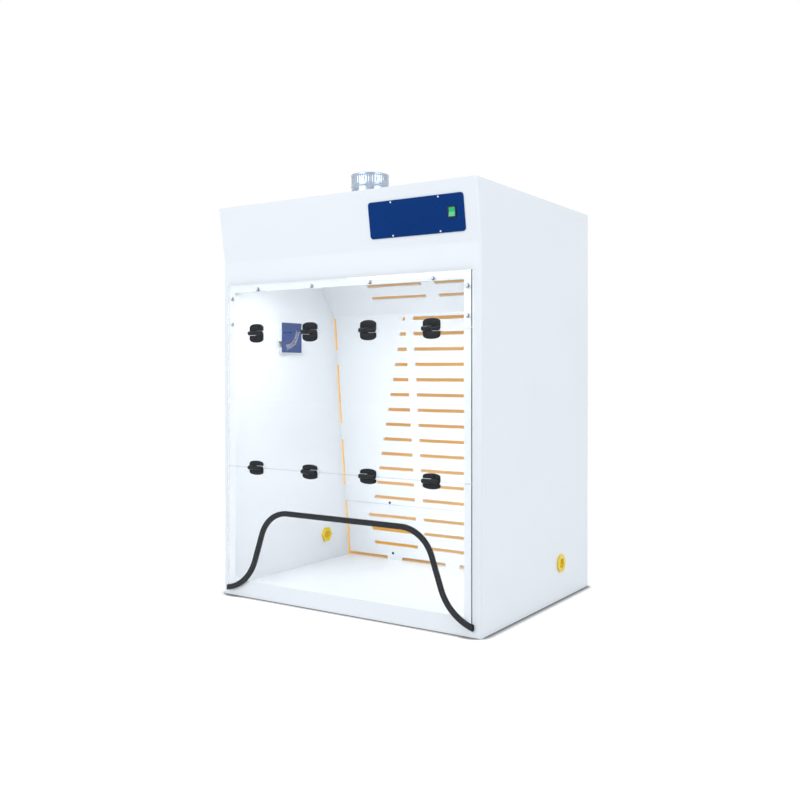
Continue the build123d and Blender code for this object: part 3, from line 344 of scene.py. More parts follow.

# %% [markdown]
# ### Rubbed edges with a painted highlight
#
# Handling polishes plastic along its corners, and they catch more light than the faces. So the
# corners get a colour of their own, mostly lighter: partly that wear, and partly a painted highlight.
# The Bevel node bends the normal near a corner. Where it departs from the true normal there is an
# edge, and a noise breaks that line up, because wear is never even. Wear that is painted on by hand
# would be lost with each change of the CAD.

# %% Edge mask: where two faces meet, for wear and a painted highlight
edge_group, start, end = effect_group(
    "rubbed_edges_and_highlight", [("Width", "Float", 0.001), ("Breaks", "Float", 60.0)], [("Mask", "Float")]
)
rounded = add_node(edge_group, "ShaderNodeBevel", samples=4)
edge_group.links.new(start["Width"], rounded.inputs["Radius"])
flat = add_node(edge_group, "ShaderNodeNewGeometry")
dot = add_node(edge_group, "ShaderNodeVectorMath", operation="DOT_PRODUCT")
edge_group.links.new(rounded.outputs[0], dot.inputs[0])
edge_group.links.new(flat.outputs["Normal"], dot.inputs[1])
edge = add_node(edge_group, "ShaderNodeMapRange")
edge.inputs["From Min"].default_value = 0.995
edge.inputs["From Max"].default_value = 0.8
edge_group.links.new(dot.outputs["Value"], edge.inputs["Value"])
breaks = object_noise(edge_group, start["Breaks"], 3.0)
wear_and_highlight_mask = add_node(edge_group, "ShaderNodeMath", operation="MULTIPLY")
edge_group.links.new(edge.outputs[0], wear_and_highlight_mask.inputs[0])
edge_group.links.new(breaks, wear_and_highlight_mask.inputs[1])
edge_group.links.new(wear_and_highlight_mask.outputs[0], end["Mask"])
print("group", edge_group.name)

# %% [markdown]
# ## Finishes
#
# Most of the hood is opaque plastic, and one recipe serves it: a tone that drifts a little, a skin,
# and edges with a colour of their own, partly wear and partly a painted highlight. What differs is
# how large the grain is, how strong the relief and how shiny the surface. Each finish keeps its own
# Principled shader, where its fixed values are set.

# %% Plastic recipe
finishes = {}


def add_plastic(name, light, shade, cloud_scale, grain_scale, relief, shine, edge_wear_and_highlight, edge_width,
                gloss=0.5):
    """Opaque plastic or painted finish. Its shine is the least and the greatest roughness."""
    material = bpy.data.materials.new(name)
    material.use_nodes = True
    tree = material.node_tree
    shader = tree.nodes["Principled BSDF"]
    shader.inputs["Specular IOR Level"].default_value = gloss
    tone = add_node(tree, "ShaderNodeGroup", node_tree=tone_group)
    tone.inputs["Scale"].default_value = cloud_scale
    tone.inputs["Light"].default_value = (*light, 1)
    tone.inputs["Shade"].default_value = (*shade, 1)
    skin = add_node(tree, "ShaderNodeGroup", node_tree=skin_group)
    skin.inputs["Scale"].default_value = grain_scale
    skin.inputs["Smooth"].default_value = shine[0]
    skin.inputs["Rough"].default_value = shine[1]
    edges = add_node(tree, "ShaderNodeGroup", node_tree=edge_group)
    edges.inputs["Width"].default_value = edge_width
    # Near an edge the tone turns to the edge colour: partly wear, partly a painted highlight.
    wear_and_highlight_mix = add_node(tree, "ShaderNodeMix", data_type="RGBA")
    tree.links.new(edges.outputs["Mask"], wear_and_highlight_mix.inputs["Factor"])
    tree.links.new(tone.outputs["Colour"], wear_and_highlight_mix.inputs[first_colour])
    wear_and_highlight_mix.inputs[second_colour].default_value = (*edge_wear_and_highlight, 1)
    bump = add_node(tree, "ShaderNodeBump")
    bump.inputs["Strength"].default_value = relief
    bump.inputs["Distance"].default_value = 0.0004
    tree.links.new(skin.outputs["Height"], bump.inputs["Height"])
    tree.links.new(wear_and_highlight_mix.outputs[mixed_colour], shader.inputs["Base Color"])
    tree.links.new(skin.outputs["Roughness"], shader.inputs["Roughness"])
    tree.links.new(bump.outputs["Normal"], shader.inputs["Normal"])
    finishes[name] = material


print("plastic recipe ready")

# %% Finishes of the cabinet and its front
# Each edge colour below is partly wear and partly a painted highlight.
add_plastic(
    "white_polypropylene",
    light=(0.865, 0.895, 0.925), shade=(0.845, 0.878, 0.912), cloud_scale=2.2,
    grain_scale=260, relief=0.10, shine=(0.34, 0.46),
    edge_wear_and_highlight=(0.90, 0.93, 0.96), edge_width=0.0015,
)
add_plastic(
    "natural_polypropylene",
    light=(0.78, 0.53, 0.18), shade=(0.68, 0.44, 0.13), cloud_scale=5,
    grain_scale=300, relief=0.12, shine=(0.35, 0.5),
    edge_wear_and_highlight=(0.80, 0.56, 0.20), edge_width=0.001,
)
add_plastic(
    "black_nylon",
    light=(0.006, 0.008, 0.011), shade=(0.009, 0.012, 0.016), cloud_scale=40,
    grain_scale=900, relief=0.35, shine=(0.26, 0.40),
    edge_wear_and_highlight=(0.02, 0.023, 0.028), edge_width=0.0012, gloss=0.2,
)
add_plastic(
    "black_edge_trim",
    light=(0.006, 0.008, 0.010), shade=(0.010, 0.012, 0.015), cloud_scale=18,
    grain_scale=700, relief=0.25, shine=(0.30, 0.48),
    edge_wear_and_highlight=(0.02, 0.022, 0.026), edge_width=0.001, gloss=0.3,
)
add_plastic(
    "white_nylon",
    light=(0.89, 0.91, 0.94), shade=(0.86, 0.88, 0.92), cloud_scale=60,
    grain_scale=900, relief=0.15, shine=(0.25, 0.35),
    edge_wear_and_highlight=(0.86, 0.88, 0.92), edge_width=0.0006,
)
print("finishes so far:", len(finishes))

# %% Finishes of the fan and of the control box
add_plastic(
    "fan_polypropylene",
    light=(0.16, 0.175, 0.19), shade=(0.13, 0.145, 0.16), cloud_scale=12,
    grain_scale=500, relief=0.2, shine=(0.35, 0.5),
    edge_wear_and_highlight=(0.25, 0.26, 0.28), edge_width=0.001,
)
add_plastic(
    "motor_enamel",
    light=(0.035, 0.037, 0.04), shade=(0.05, 0.052, 0.055), cloud_scale=20,
    grain_scale=350, relief=0.3, shine=(0.3, 0.42),
    edge_wear_and_highlight=(0.16, 0.16, 0.165), edge_width=0.0012,
)
add_plastic(
    "grey_box",
    light=(0.48, 0.50, 0.52), shade=(0.44, 0.46, 0.48), cloud_scale=8,
    grain_scale=450, relief=0.15, shine=(0.35, 0.5),
    edge_wear_and_highlight=(0.58, 0.60, 0.62), edge_width=0.001,
)
print("finishes so far:", len(finishes))

# %% Finishes of the fittings
add_plastic(
    "black_switch",
    light=(0.014, 0.016, 0.022), shade=(0.02, 0.024, 0.032), cloud_scale=60,
    grain_scale=1200, relief=0.2, shine=(0.22, 0.34),
    edge_wear_and_highlight=(0.03, 0.034, 0.045), edge_width=0.0005, gloss=0.3,
)
add_plastic(
    "lamp_enamel",
    light=(0.84, 0.86, 0.88), shade=(0.80, 0.82, 0.85), cloud_scale=6,
    grain_scale=500, relief=0.1, shine=(0.28, 0.4),
    edge_wear_and_highlight=(0.9, 0.91, 0.93), edge_width=0.0008,
)
add_plastic(
    "gauge_case",
    light=(0.80, 0.84, 0.87), shade=(0.76, 0.80, 0.84), cloud_scale=20,
    grain_scale=600, relief=0.1, shine=(0.3, 0.4),
    edge_wear_and_highlight=(0.88, 0.9, 0.92), edge_width=0.0006,
)
add_plastic(
    "gauge_vane",
    light=(0.72, 0.08, 0.05), shade=(0.62, 0.06, 0.04), cloud_scale=30,
    grain_scale=600, relief=0.1, shine=(0.35, 0.45),
    edge_wear_and_highlight=(0.8, 0.2, 0.15), edge_width=0.0003,
)
add_plastic(
    "yellow_port",
    light=(0.90, 0.66, 0.02), shade=(0.84, 0.58, 0.015), cloud_scale=25,
    grain_scale=700, relief=0.2, shine=(0.28, 0.4),
    edge_wear_and_highlight=(0.95, 0.78, 0.12), edge_width=0.0008,
)
add_plastic(
    "blue_plate",
    light=(0.0042, 0.041, 0.20), shade=(0.0038, 0.037, 0.18), cloud_scale=9,
    grain_scale=800, relief=0.12, shine=(0.26, 0.36),
    edge_wear_and_highlight=(0.006, 0.05, 0.22), edge_width=0.0003, gloss=0.04,
)
add_plastic(
    "green_rocker",
    light=(0.01, 0.30, 0.12), shade=(0.008, 0.24, 0.10), cloud_scale=60,
    grain_scale=900, relief=0.08, shine=(0.15, 0.25),
    edge_wear_and_highlight=(0.05, 0.45, 0.22), edge_width=0.0004,
)
print("plastic finishes:", len(finishes))

# %% [markdown]
# ## The amber liner and the rocker glow a little
#
# Behind the white baffle the photograph shows bright amber through every slot. Natural
# polypropylene lets light through, so the liner is lit from all round. A weak glow of its own
# colour stands for that light. The green rocker has a small lamp behind it and glows as well. Both
# are an emission of the finish, so they need no lamp that would have to move with its piece.

# %% Glow of the liner and of the rocker
for name, glow, strength in (
    ("natural_polypropylene", (0.74, 0.46, 0.14), 0.42),
    ("green_rocker", (0.0, 0.55, 0.20), 0.35),
):
    shader = finishes[name].node_tree.nodes["Principled BSDF"]
    shader.inputs["Emission Color"].default_value = (*glow, 1)
    shader.inputs["Emission Strength"].default_value = strength
print("glow on the liner and the lit rocker")

# %% [markdown]
# ## Clear sheet
#
# The front panels are clear plastic, 6 mm thick, and they bend light as a real slab does. A sawn
# edge gets a darker colour than a face, a painted shade for the dark line that an edge shows where
# one looks into the whole width of the sheet. The object's own normal tells the two apart: a face
# points along one axis, and an edge doesn't. The other trick is for the lamps: their light has to
# pass the panels on its way in, so lamp rays meet a plain transparent shader in place of the
# refracting one.

# %% Clear sheet
def add_clear(name, tint, bend, ghost, painted_edge_shade, face_axis):
    """Clear plastic with a painted darker shade on its sawn edges, that lets lamp light straight
    through.

    Its faces point along the object's own face_axis, and ghost tints the lamp light that passes.
    """
    material = bpy.data.materials.new(name)
    material.use_nodes = True
    tree = material.node_tree
    shader = tree.nodes["Principled BSDF"]
    facing = add_node(tree, "ShaderNodeTexCoord")
    split = add_node(tree, "ShaderNodeSeparateXYZ")
    tree.links.new(facing.outputs["Normal"], split.inputs[0])
    flatness = add_node(tree, "ShaderNodeMath", operation="ABSOLUTE")
    tree.links.new(split.outputs[face_axis], flatness.inputs[0])
    # Sawn edges get a darker colour than faces: a painted shade for the dark line along each edge.
    colour = add_node(tree, "ShaderNodeMix", data_type="RGBA")
    tree.links.new(flatness.outputs[0], colour.inputs["Factor"])
    colour.inputs[first_colour].default_value = (*painted_edge_shade, 1)
    colour.inputs[second_colour].default_value = (*tint, 1)
    tree.links.new(colour.outputs[mixed_colour], shader.inputs["Base Color"])
    shader.inputs["Roughness"].default_value = 0.0
    shader.inputs["IOR"].default_value = bend
    shader.inputs["Transmission Weight"].default_value = 1.0
    passing = add_node(tree, "ShaderNodeBsdfTransparent")
    passing.inputs["Color"].default_value = (*ghost, 1)
    path = add_node(tree, "ShaderNodeLightPath")
    choose = add_node(tree, "ShaderNodeMixShader")
    tree.links.new(path.outputs["Is Shadow Ray"], choose.inputs[0])
    tree.links.new(shader.outputs[0], choose.inputs[1])
    tree.links.new(passing.outputs[0], choose.inputs[2])
    tree.links.new(choose.outputs[0], tree.nodes["Material Output"].inputs["Surface"])
    finishes[name] = material


# The dark edge colours below are painted shade along the sheets' edges.
add_clear(
    "clear_sheet",
    tint=(0.965, 0.97, 0.98), bend=1.49, ghost=(0.98, 0.985, 0.99),
    painted_edge_shade=(0.16, 0.20, 0.26), face_axis="Y",
)
add_clear(
    "lamp_lens",
    tint=(0.95, 0.97, 0.98), bend=1.49, ghost=(0.95, 0.95, 0.95),
    painted_edge_shade=(0.6, 0.62, 0.64), face_axis="Z",
)
print("clear finishes ready")

# %% [markdown]
# ## Galvanised steel
#
# The duct collar is thin bright metal. Rolled sheet has fine lines round the pipe and slightly
# mottled zinc crystals. A noise that changes fast with the height and slowly round the pipe gives
# the lines, and Voronoi cells that differ a little in tone and shine give the crystals. A
# photographed texture would show a seam where it meets itself round the pipe.

# %% Steel
def add_steel(name):
    """Bright zinc-coated sheet."""
    material = bpy.data.materials.new(name)
    material.use_nodes = True
    tree = material.node_tree
    shader = tree.nodes["Principled BSDF"]
    shader.inputs["Metallic"].default_value = 1.0
    place = add_node(tree, "ShaderNodeTexCoord")
    cells = add_node(tree, "ShaderNodeTexVoronoi")
    cells.inputs["Scale"].default_value = 110
    tree.links.new(place.outputs["Object"], cells.inputs["Vector"])
    cell_tone = add_node(tree, "ShaderNodeMapRange")
    cell_tone.inputs["To Min"].default_value = 0.20
    cell_tone.inputs["To Max"].default_value = 0.34
    tree.links.new(cells.outputs["Color"], cell_tone.inputs["Value"])
    tree.links.new(cell_tone.outputs[0], shader.inputs["Roughness"])
    colour = add_node(tree, "ShaderNodeMix", data_type="RGBA")
    colour.inputs[first_colour].default_value = (0.30, 0.37, 0.48, 1)
    colour.inputs[second_colour].default_value = (0.52, 0.58, 0.66, 1)
    tree.links.new(cells.outputs["Color"], colour.inputs["Factor"])
    tree.links.new(colour.outputs[mixed_colour], shader.inputs["Base Color"])
    stretch = add_node(tree, "ShaderNodeMapping")
    stretch.inputs["Scale"].default_value = (20, 20, 2500)
    tree.links.new(place.outputs["Object"], stretch.inputs["Vector"])
    lines = add_node(tree, "ShaderNodeTexNoise")
    lines.inputs["Scale"].default_value = 1.0
    tree.links.new(stretch.outputs[0], lines.inputs["Vector"])
    bump = add_node(tree, "ShaderNodeBump")
    bump.inputs["Strength"].default_value = 0.08
    bump.inputs["Distance"].default_value = 0.0003
    tree.links.new(lines.outputs["Fac"], bump.inputs["Height"])
    tree.links.new(bump.outputs["Normal"], shader.inputs["Normal"])
    finishes[name] = material


add_steel("galvanised_steel")
print("finishes in all:", len(finishes))

# %% [markdown]
# ## Finishes go on the CAD parts
#
# The record says which slot each part takes. Each CAD part gets its finish, and parts whose edges
# are seen also get a narrow rounding. The CAD mesh itself never changes: a Weld modifier joins the
# split corners that the file format leaves, and a Bevel modifier rounds what meets at an angle.

# %% Put the finishes on
slots = {part["node"]: part["material_slot"] for part in frame["record"]["subparts"]}
for name, node in nodes.items():
    node.data.materials.clear()
    node.data.materials.append(finishes[slots[name]])
print("parts with finishes:", len(nodes))

# %% Rounded edges of the CAD parts
join_distance = 0.00002


def soften(name, width):
    """Narrow rounding along the sharp edges of a CAD part."""
    weld = nodes[name].modifiers.new("weld", "WELD")
    weld.merge_threshold = join_distance
    bevel = nodes[name].modifiers.new("soft_edges", "BEVEL")
    bevel.width = width
    bevel.segments = 2
    bevel.limit_method = "ANGLE"
    bevel.angle_limit = math.radians(40)
    bevel.harden_normals = True


wall_rounding = 0.0012
sheet_rounding = 0.0006
fitting_rounding = 0.0004
for name in ("front_frame", "left_side_wall", "right_side_wall", "rear_wall", "top_panel"):
    soften(name, wall_rounding)
for name in ("main_baffle", "lower_baffle", "floor_panel", "ceiling_deck"):
    soften(name, sheet_rounding)
for name in ("control_plate", "gauge_face", "gauge_body", "switch_housing", "switch_rocker"):
    soften(name, fitting_rounding)
print("parts with rounded edges:", sum(1 for node in nodes.values() if node.modifiers))

# %% [markdown]
# ## Helpers for the finer pieces
#
# The CAD gives each part its main form, and what follows adds the roundings and fasteners that the
# eye looks for. Most of these are turned parts, so one helper spins a profile round an axis. It works
# for screws, knuckles and the duct collar alike, and needs no modifier that could shift the size.

# %% Piece helpers
def make_piece(name, form, slot, body, *replaced):
    """Object from a bmesh, with a finish, that rides on a body and may stand for CAD parts."""
    mesh = bpy.data.meshes.new(name)
    bmesh.ops.recalc_face_normals(form, faces=form.faces)
    form.to_mesh(mesh)
    form.free()
    mesh.materials.append(finishes[slot])
    mesh.polygons.foreach_set("use_smooth", [True] * len(mesh.polygons))
    mesh.set_sharp_from_angle(angle=math.radians(38))
    piece = bpy.data.objects.new(name, mesh)
    bpy.context.scene.collection.objects.link(piece)
    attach(piece, body)
    if replaced:
        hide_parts(*replaced)
    return piece


def add_turned(form, profile, place, axis, steps=28, flutes=None):
    """Turned form along an axis. Its profile lists radii and heights in mm."""
    turn = Vector((0, 0, 1)).rotation_difference(Vector(axis)).to_matrix().to_4x4()
    frame_matrix = Matrix.Translation(Vector(place) * mm) @ turn
    rings = []
    for radius, height in profile:
        ring = []
        for step in range(steps if radius > 0 else 1):
            angle = 2 * math.pi * step / steps
            reach = radius + (flutes(angle, height) if flutes else 0)
            point = Vector((reach * math.cos(angle), reach * math.sin(angle), height)) * mm
            ring.append(form.verts.new(frame_matrix @ point))
        rings.append(ring)
    for low, high in zip(rings, rings[1:]):
        for step in range(steps):
            after = step + 1
            corners = [
                low[step % len(low)], low[after % len(low)],
                high[after % len(high)], high[step % len(high)],
            ]
            form.faces.new(list(dict.fromkeys(corners)))


def dome(radius, height):
    """Profile of a domed screw head with a round socket."""
    return [
        (0, 0), (radius, 0), (radius, 0.25 * height), (0.93 * radius, 0.55 * height),
        (0.74 * radius, 0.84 * height), (0.48 * radius, height), (0.26 * radius, 0.98 * height),
        (0.22 * radius, 0.75 * height), (0, 0.75 * height),
    ]


print("piece helpers ready")

# %% [markdown]
# ## Black hinges
#
# Each hinge is two moulded nylon leaves with crowned ends and a round knuckle that stands proud. A
# plain extrusion looks like cut sheet, so the leaf is built as a stack of outlines that shrink
# towards its face, which rounds the rim as a mould does. The knuckle is turned, with its ends
# rounded and the pin's end sunk in.

# %% Hinge measures in mm
leaf_half = 27.0
leaf_gap = 0.3
knuckle_radius = 6.5
knuckle_room = 7.0
knuckle_gap = 0.2
pin_radius = 2.5
pin_sink = 0.7
panel_face_y = -369.0
hinge_axis_y = -376.0
upper_line = 810.0
lower_line = 401.5
upper_leaf = 28.5
lower_leaf = 21.5
hinge_columns = [-312.0, -104.0, 104.0, 312.0]
# CAD node, name of its screws, line of the pins, reach of the leaf and body that it rides on.
hinge_rows = [
    ("upper_hinge_top_leaves", "upper_fixed_hinge_screws", upper_line, upper_leaf, "cabinet"),
    ("upper_hinge_swing_leaves", "upper_swing_hinge_screws", upper_line, -upper_leaf, "middle_front"),
    ("lower_hinge_top_leaves", "lower_fixed_hinge_screws", lower_line, lower_leaf, "middle_front"),
    ("lower_hinge_swing_leaves", "lower_swing_hinge_screws", lower_line, -lower_leaf, "lower_front"),
]
print("hinges in a row:", len(hinge_columns))

# %% Outline of a leaf
leaf_steps = 20
straight_share = 0.58
crown_power = 0.9


def leaf_outline(reach):
    """Outline of a leaf: straight sides, a crowned end and the step beside the other knuckle."""
    straight = straight_share * reach
    points = [(leaf_gap, leaf_gap), (leaf_half, leaf_gap)]
    for step in range(leaf_steps + 1):
        angle = math.pi * step / leaf_steps
        across = math.copysign(abs(math.cos(angle)) ** crown_power, math.cos(angle))
        rise = (reach - straight) * math.sin(angle) ** crown_power
        points.append((leaf_half * across, straight + rise))
    points += [(-leaf_half, knuckle_room), (leaf_gap, knuckle_room)]
    return points


print("corners of a leaf:", len(leaf_outline(upper_leaf)))

# %% One leaf with its knuckle
# Depth from the panel's face, and how far the outline has shrunk there.
leaf_layers = [(0, 0), (3.2, 0), (4.2, 0.5), (4.8, 1.3), (5.0, 2.6)]


def add_leaf(form, column, line, reach):
    """One hinge leaf, upwards from its line, or downwards if its reach is negative."""
    up = math.copysign(1, reach)
    side = math.copysign(1, column) * up
    outline = leaf_outline(abs(reach))
    middle = Vector((0, 0.5 * abs(reach)))
    rings = []
    for depth, shrink in leaf_layers:
        ring = []
        for x, y in outline:
            inward = (middle - Vector((x, y))).normalized() * shrink
            place = Vector((
                column + side * (x + inward.x), panel_face_y - depth, line + up * (y + inward.y)
            ))
            ring.append(form.verts.new(place * mm))
        rings.append(ring)
    for low, high in zip(rings, rings[1:]):
        for index in range(len(outline)):
            after = (index + 1) % len(outline)
            form.faces.new((low[index], low[after], high[after], high[index]))
    form.faces.new(rings[0])
    form.faces.new(rings[-1])
    start = knuckle_gap
    end = leaf_half
    profile = [
        (0, start), (knuckle_radius - 0.7, start), (knuckle_radius, start + 0.7),
        (knuckle_radius, end - 1.2), (knuckle_radius - 0.4, end - 0.4), (knuckle_radius - 1.3, end),
        (pin_radius, end), (pin_radius, end - pin_sink), (0, end - pin_sink),
    ]
    add_turned(form, profile, (column, hinge_axis_y, line), (side, 0, 0), steps=32)


print("layers of a leaf:", len(leaf_layers))

# %% Hinge leaves
for node, _, line, reach, body in hinge_rows:
    form = bmesh.new()
    for column in hinge_columns:
        add_leaf(form, column, line, reach)
    piece = make_piece("moulded_" + node, form, "black_nylon", body, node)
    print(piece.name, [round(v, 3) for v in piece.dimensions])

# %% [markdown]
# ## Screws
#
# The hinge leaves are screwed on from behind the clear sheet, the fixed panel is held by eight white
# domed screws, and the baffles by black ones. All are the same turned dome at different sizes. Each
# sits on the face that it clamps, so its place comes from that face.

# %% Screws through the clear sheets
panel_back_y = -363.0
leaf_screw_half = 15.0
leaf_screw_share = 0.56
for _, name, line, reach, body in hinge_rows:
    form = bmesh.new()
    height = line + leaf_screw_share * reach
    for column in hinge_columns:
        for across in (-leaf_screw_half, leaf_screw_half):
            place = (column + across, panel_back_y, height)
            add_turned(form, dome(radius=3.2, height=1.8), place, (0, 1, 0), steps=16)
    make_piece(name, form, "black_nylon", body)

top_screw_row = 945.0
side_screw_column = 418.0
side_screw_rows = (920.0, 842.0)
fixed_screws = [(x, top_screw_row) for x in hinge_columns]
fixed_screws += [(x, z) for x in (-side_screw_column, side_screw_column) for z in side_screw_rows]
form = bmesh.new()
for x, z in fixed_screws:
    add_turned(form, dome(radius=5.0, height=3.2), (x, panel_face_y, z), (0, -1, 0))
make_piece("fixed_panel_screws", form, "white_nylon", "cabinet")
print("fixed panel screws:", len(fixed_screws))

# %% [markdown]
# ## Screws on the leaning sheets
#
# The tops of the baffle and of the fascia lean forward, so a screw on them can't be placed by its
# height alone. Each sheet gets a direction along its slope and one out of its face. The screws are
# measured along the slope from the fold, as a maker would mark them out on the flat sheet.

# %% Screws of the baffles
baffle_fold = Vector((0, 189.5, 892.0))
baffle_run = 87.3
baffle_drop = 872.0
baffle_screw_half = 246.0
baffle_screw_rows = (669.5, 853.0)
baffle_lean = math.atan2(baffle_run, baffle_drop)
baffle_down = Vector((0, math.sin(baffle_lean), -math.cos(baffle_lean)))
baffle_out = Vector((0, -math.cos(baffle_lean), -math.sin(baffle_lean)))
form = bmesh.new()
for across in (-baffle_screw_half, baffle_screw_half):
    for down in baffle_screw_rows:
        place = baffle_fold + baffle_down * down + Vector((across, 0, 0))
        add_turned(form, dome(radius=4.5, height=2.6), place, baffle_out)
make_piece("baffle_screws", form, "black_nylon", "cabinet")
print("baffle leans by", round(math.degrees(baffle_lean), 1), "degrees")

# %% Screws of the control plate
fascia_run = 26.0
fascia_rise = 166.0
fold_below_plate = Vector((262.5, -360.0, 1034.0))
plate_height = 80.0
plate_sheet = 2.5
plate_screw_half = 76.0
plate_screw_rise = 45.5
fascia_lean = math.atan2(fascia_run, fascia_rise)
fascia_up = Vector((0, -math.sin(fascia_lean), math.cos(fascia_lean)))
fascia_out = Vector((0, -math.cos(fascia_lean), -math.sin(fascia_lean)))
plate_middle = fold_below_plate + fascia_up * plate_height + fascia_out * plate_sheet
form = bmesh.new()
for across in (-plate_screw_half, plate_screw_half):
    for rise in (-plate_screw_rise, plate_screw_rise):
        place = plate_middle + Vector((across, 0, 0)) + fascia_up * rise
        add_turned(form, dome(radius=2.6, height=1.3), place, fascia_out, steps=20)
make_piece("control_plate_screws", form, "white_nylon", "cabinet")
print("fascia leans by", round(math.degrees(fascia_lean), 1), "degrees")

# %% [markdown]
# ## Edge trim
#
# A black rubber channel is pushed over the arched edge. It is a section swept along the arch, and the
# arch is a flat, a shoulder arc, a leg and a foot arc. Every corner of the section runs parallel to
# the clear edge, so each is worked out from the same arcs with its own offset. That keeps the grip
# even, where a curve with a bevel would pinch in the tight turns.

# %% Arch of the clear edge
arch_centre = 8.0
arch_top = 265.5
flat_half = 203.0
shoulder_radius = 99.5
foot_radius = 147.5
leg_angle = math.radians(71)
leg_length = 87.5
trim_reach = 436.0
flat_steps = 6
arc_steps = 18
shoulder = Vector((flat_half, arch_top - shoulder_radius))
leg_out = Vector((math.sin(leg_angle), math.cos(leg_angle)))
leg_down = Vector((math.cos(leg_angle), -math.sin(leg_angle)))
foot = shoulder + leg_out * (shoulder_radius + foot_radius) + leg_down * leg_length


def arch_half(offset, cut):
    """Points from the flat's middle to the cut at the panel's side, parallel to the clear edge."""
    points = [
        Vector((flat_half * step / flat_steps, arch_top + offset)) for step in range(flat_steps)
    ]
    for step in range(arc_steps + 1):
        angle = leg_angle * step / arc_steps
        out = Vector((math.sin(angle), math.cos(angle)))
        points.append(shoulder + out * (shoulder_radius + offset))
    last = math.asin((foot.x - cut) / (foot_radius - offset))
    for step in range(arc_steps + 1):
        angle = leg_angle + (last - leg_angle) * step / arc_steps
        out = Vector((math.sin(angle), math.cos(angle)))
        points.append(foot - out * (foot_radius - offset))
    return points


print("foot of the arch at", tuple(round(v, 1) for v in foot))

# %% Trim along the arch
# Offset outwards from the clear edge, and place in depth.
trim_section = [
    (13.0, -369.0), (13.0, -370.3), (12.3, -371.0), (7.2, -371.0), (6.4, -370.3), (5.6, -370.3),
    (4.8, -371.0), (0.0, -371.0), (-1.7, -370.6), (-2.7, -369.6), (-3.0, -368.2), (-3.0, -363.8),
    (-2.7, -362.4), (-1.7, -361.4), (0.0, -361.0), (12.3, -361.0), (13.0, -361.7), (13.0, -363.0),
    (0.0, -363.0), (0.0, -369.0),
]
form = bmesh.new()
lanes = []
for offset, y in trim_section:
    left = [(-p.x, p.y) for p in arch_half(offset, trim_reach + arch_centre)][::-1]
    right = [(p.x, p.y) for p in arch_half(offset, trim_reach - arch_centre)][1:]
    lanes.append([form.verts.new(Vector((arch_centre + x, y, z)) * mm) for x, z in left + right])
for lane, following in zip(lanes, lanes[1:] + lanes[:1]):
    for index in range(len(lane) - 1):
        form.faces.new((lane[index], lane[index + 1], following[index + 1], following[index]))
form.faces.new([lane[0] for lane in lanes])
form.faces.new([lane[-1] for lane in lanes])
trim = make_piece("rubber_edge_trim", form, "black_edge_trim", "lower_front", "edge_trim")
print(trim.name, [round(v, 3) for v in trim.dimensions])

# %% [markdown]
# ## Duct collar
#
# The collar is rolled sheet with a stop bead, a crimped band that lets it slide into the duct, and a
# plain rim. The crimp is a row of shallow vertical flutes. They are modelled, because their bright
# and dark stripes are what tells this metal collar from a plain pipe.

# %% Flutes of the crimped band
collar_place = Vector((-152.0, 0.0, 1200.0))
flute_count = 44
flute_depth = 0.9
flute_steps = 6
band_foot = 102.0
band_head = 128.5
foot_fade = 4.0
head_fade = 3.0


def collar_flutes(angle, height):
    """Depth of the crimp at an angle, fading out at both ends of the band."""
    at_foot = min(1, max(0, (height - band_foot) / foot_fade))
    at_head = min(1, max(0, (band_head - height) / head_fade))
    return at_foot * at_head * flute_depth * (math.cos(flute_count * angle) - 1) / 2


print("flutes:", flute_count)

# %% Collar pipe: foot, stop bead, crimped band and rim
collar_profile = [
    (59.5, 0), (60.6, 0), (60.6, 90), (60.9, 94), (62.0, 95.4), (62.5, 97.2), (62.0, 99.0),
    (61.2, 100.4), (61.0, 102), (61.0, 106), (61.0, 116), (61.0, 125.5), (61.0, 128.5),
    (61.4, 129.4), (62.2, 130.4), (62.2, 133.6), (61.6, 135.0), (60.4, 135.0), (60.0, 133.8),
    (59.5, 130), (59.5, 0),
]
form = bmesh.new()
add_turned(form, collar_profile, collar_place, (0, 0, 1), flute_count * flute_steps, collar_flutes)
bmesh.ops.remove_doubles(form, verts=form.verts, dist=join_distance)
print("faces of the pipe:", len(form.faces))

# %% Collar flange and its screws
flange_half = 81.0
flange_corner = 6.0
flange_sheet = 1.5
flange_screw = 70.0
bore_radius = 60.0
corner_steps = 5
outer = []
for quarter in range(4):
    centre_x = (flange_half - flange_corner) * (1 if quarter in (0, 3) else -1)
    centre_y = (flange_half - flange_corner) * (1 if quarter in (0, 1) else -1)
    for step in range(corner_steps + 1):
        angle = math.pi / 2 * (quarter + step / corner_steps)
        x = centre_x + flange_corner * math.cos(angle)
        outer.append((x, centre_y + flange_corner * math.sin(angle)))
turns = [math.atan2(y, x) for x, y in outer]
inner = [(bore_radius * math.cos(turn), bore_radius * math.sin(turn)) for turn in turns]
levels = []
for points, height in ((inner, 0), (outer, 0), (outer, flange_sheet), (inner, flange_sheet)):
    places = [collar_place + Vector((x, y, height)) for x, y in points]
    levels.append([form.verts.new(place * mm) for place in places])
for low, high in zip(levels, levels[1:] + levels[:1]):
    for index in range(len(outer)):
        after = (index + 1) % len(outer)
        form.faces.new((low[index], low[after], high[after], high[index]))
for x in (-flange_screw, flange_screw):
    for y in (-flange_screw, flange_screw):
        place = collar_place + Vector((x, y, flange_sheet))
        add_turned(form, dome(radius=4.2, height=2.8), place, (0, 0, 1), steps=20)
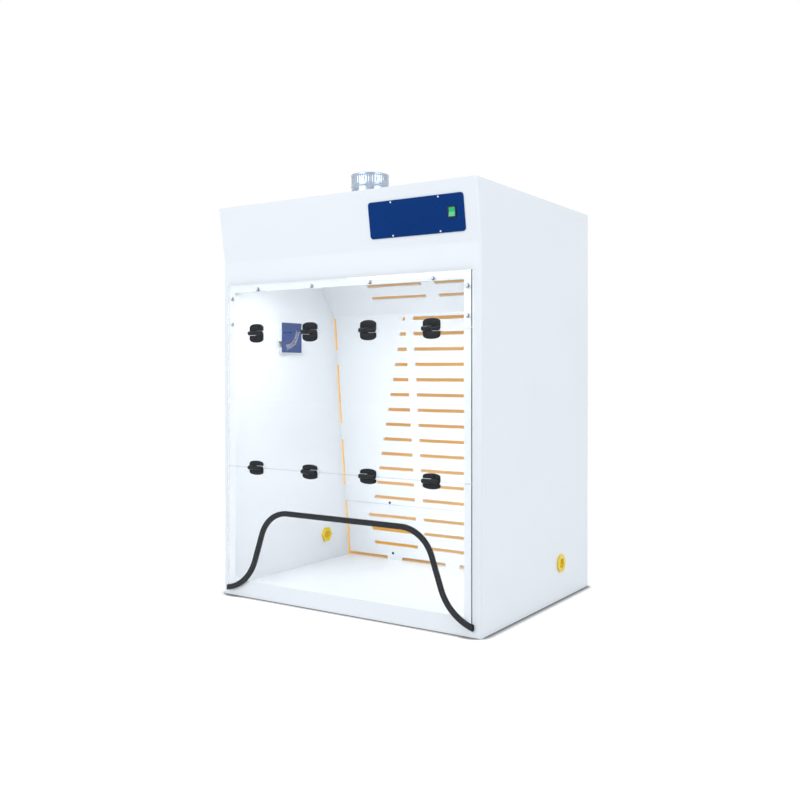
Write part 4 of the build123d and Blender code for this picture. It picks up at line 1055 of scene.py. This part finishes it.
collar = make_piece("crimped_exhaust_collar", form, "galvanised_steel", "cabinet", "exhaust_collar")
print(collar.name, [round(v, 3) for v in collar.dimensions])

# %% [markdown]
# ## Gauge scale
#
# The airflow gauge reads by the vane's tip, which shows in the curved window. A white scale line with
# ticks runs beside the window. It is a thin raised print, so it is a flat strip bent round the
# vane's pivot, and it carries no lettering.

# %% A patch of print
face_low, face_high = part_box("gauge_face")
pivot_in = 24.0
pivot_up = 76.0
pivot_y = face_low.y / mm + pivot_in
pivot_z = face_low.z / mm + pivot_up
print_x = face_high.x / mm
print_lift = 0.15


def add_scale_patch(form, inner_radius, outer_radius, first, last, steps):
    """Curved patch of print round the vane's pivot, between two angles below the level."""
    section = [
        (inner_radius, 0), (inner_radius, print_lift), (outer_radius, print_lift), (outer_radius, 0),
    ]
    lines = []
    for step in range(steps + 1):
        angle = math.radians(first + (last - first) * step / steps)
        points = []
        for radius, lift in section:
            y = pivot_y + radius * math.cos(angle)
            z = pivot_z + radius * math.sin(angle)
            points.append(form.verts.new(Vector((print_x + lift, y, z)) * mm))
        lines.append(points)
    for before, after in zip(lines, lines[1:]):
        for index in range(len(section)):
            following = (index + 1) % len(section)
            form.faces.new((before[index], before[following], after[following], after[index]))
    form.faces.new(lines[0])
    form.faces.new(lines[-1])


print("vane's pivot at", (round(pivot_y, 1), round(pivot_z, 1)))

# %% Scale line and ticks
line_inner = 60.5
line_outer = 61.5
tick_inner = 62.0
short_tick_outer = 66.0
long_tick_outer = 69.0
scale_start = -88.0
scale_end = -5.0
tick_count = 11
tick_spacing = 8.3
tick_half = 0.5
form = bmesh.new()
add_scale_patch(form, line_inner, line_outer, scale_start, scale_end, 30)
for tick in range(tick_count):
    angle = scale_start + tick_spacing * tick
    tick_outer = short_tick_outer if tick % 5 else long_tick_outer
    add_scale_patch(form, tick_inner, tick_outer, angle - tick_half, angle + tick_half, 1)
make_piece("gauge_scale", form, "white_nylon", "cabinet")
print("ticks on the gauge:", tick_count)
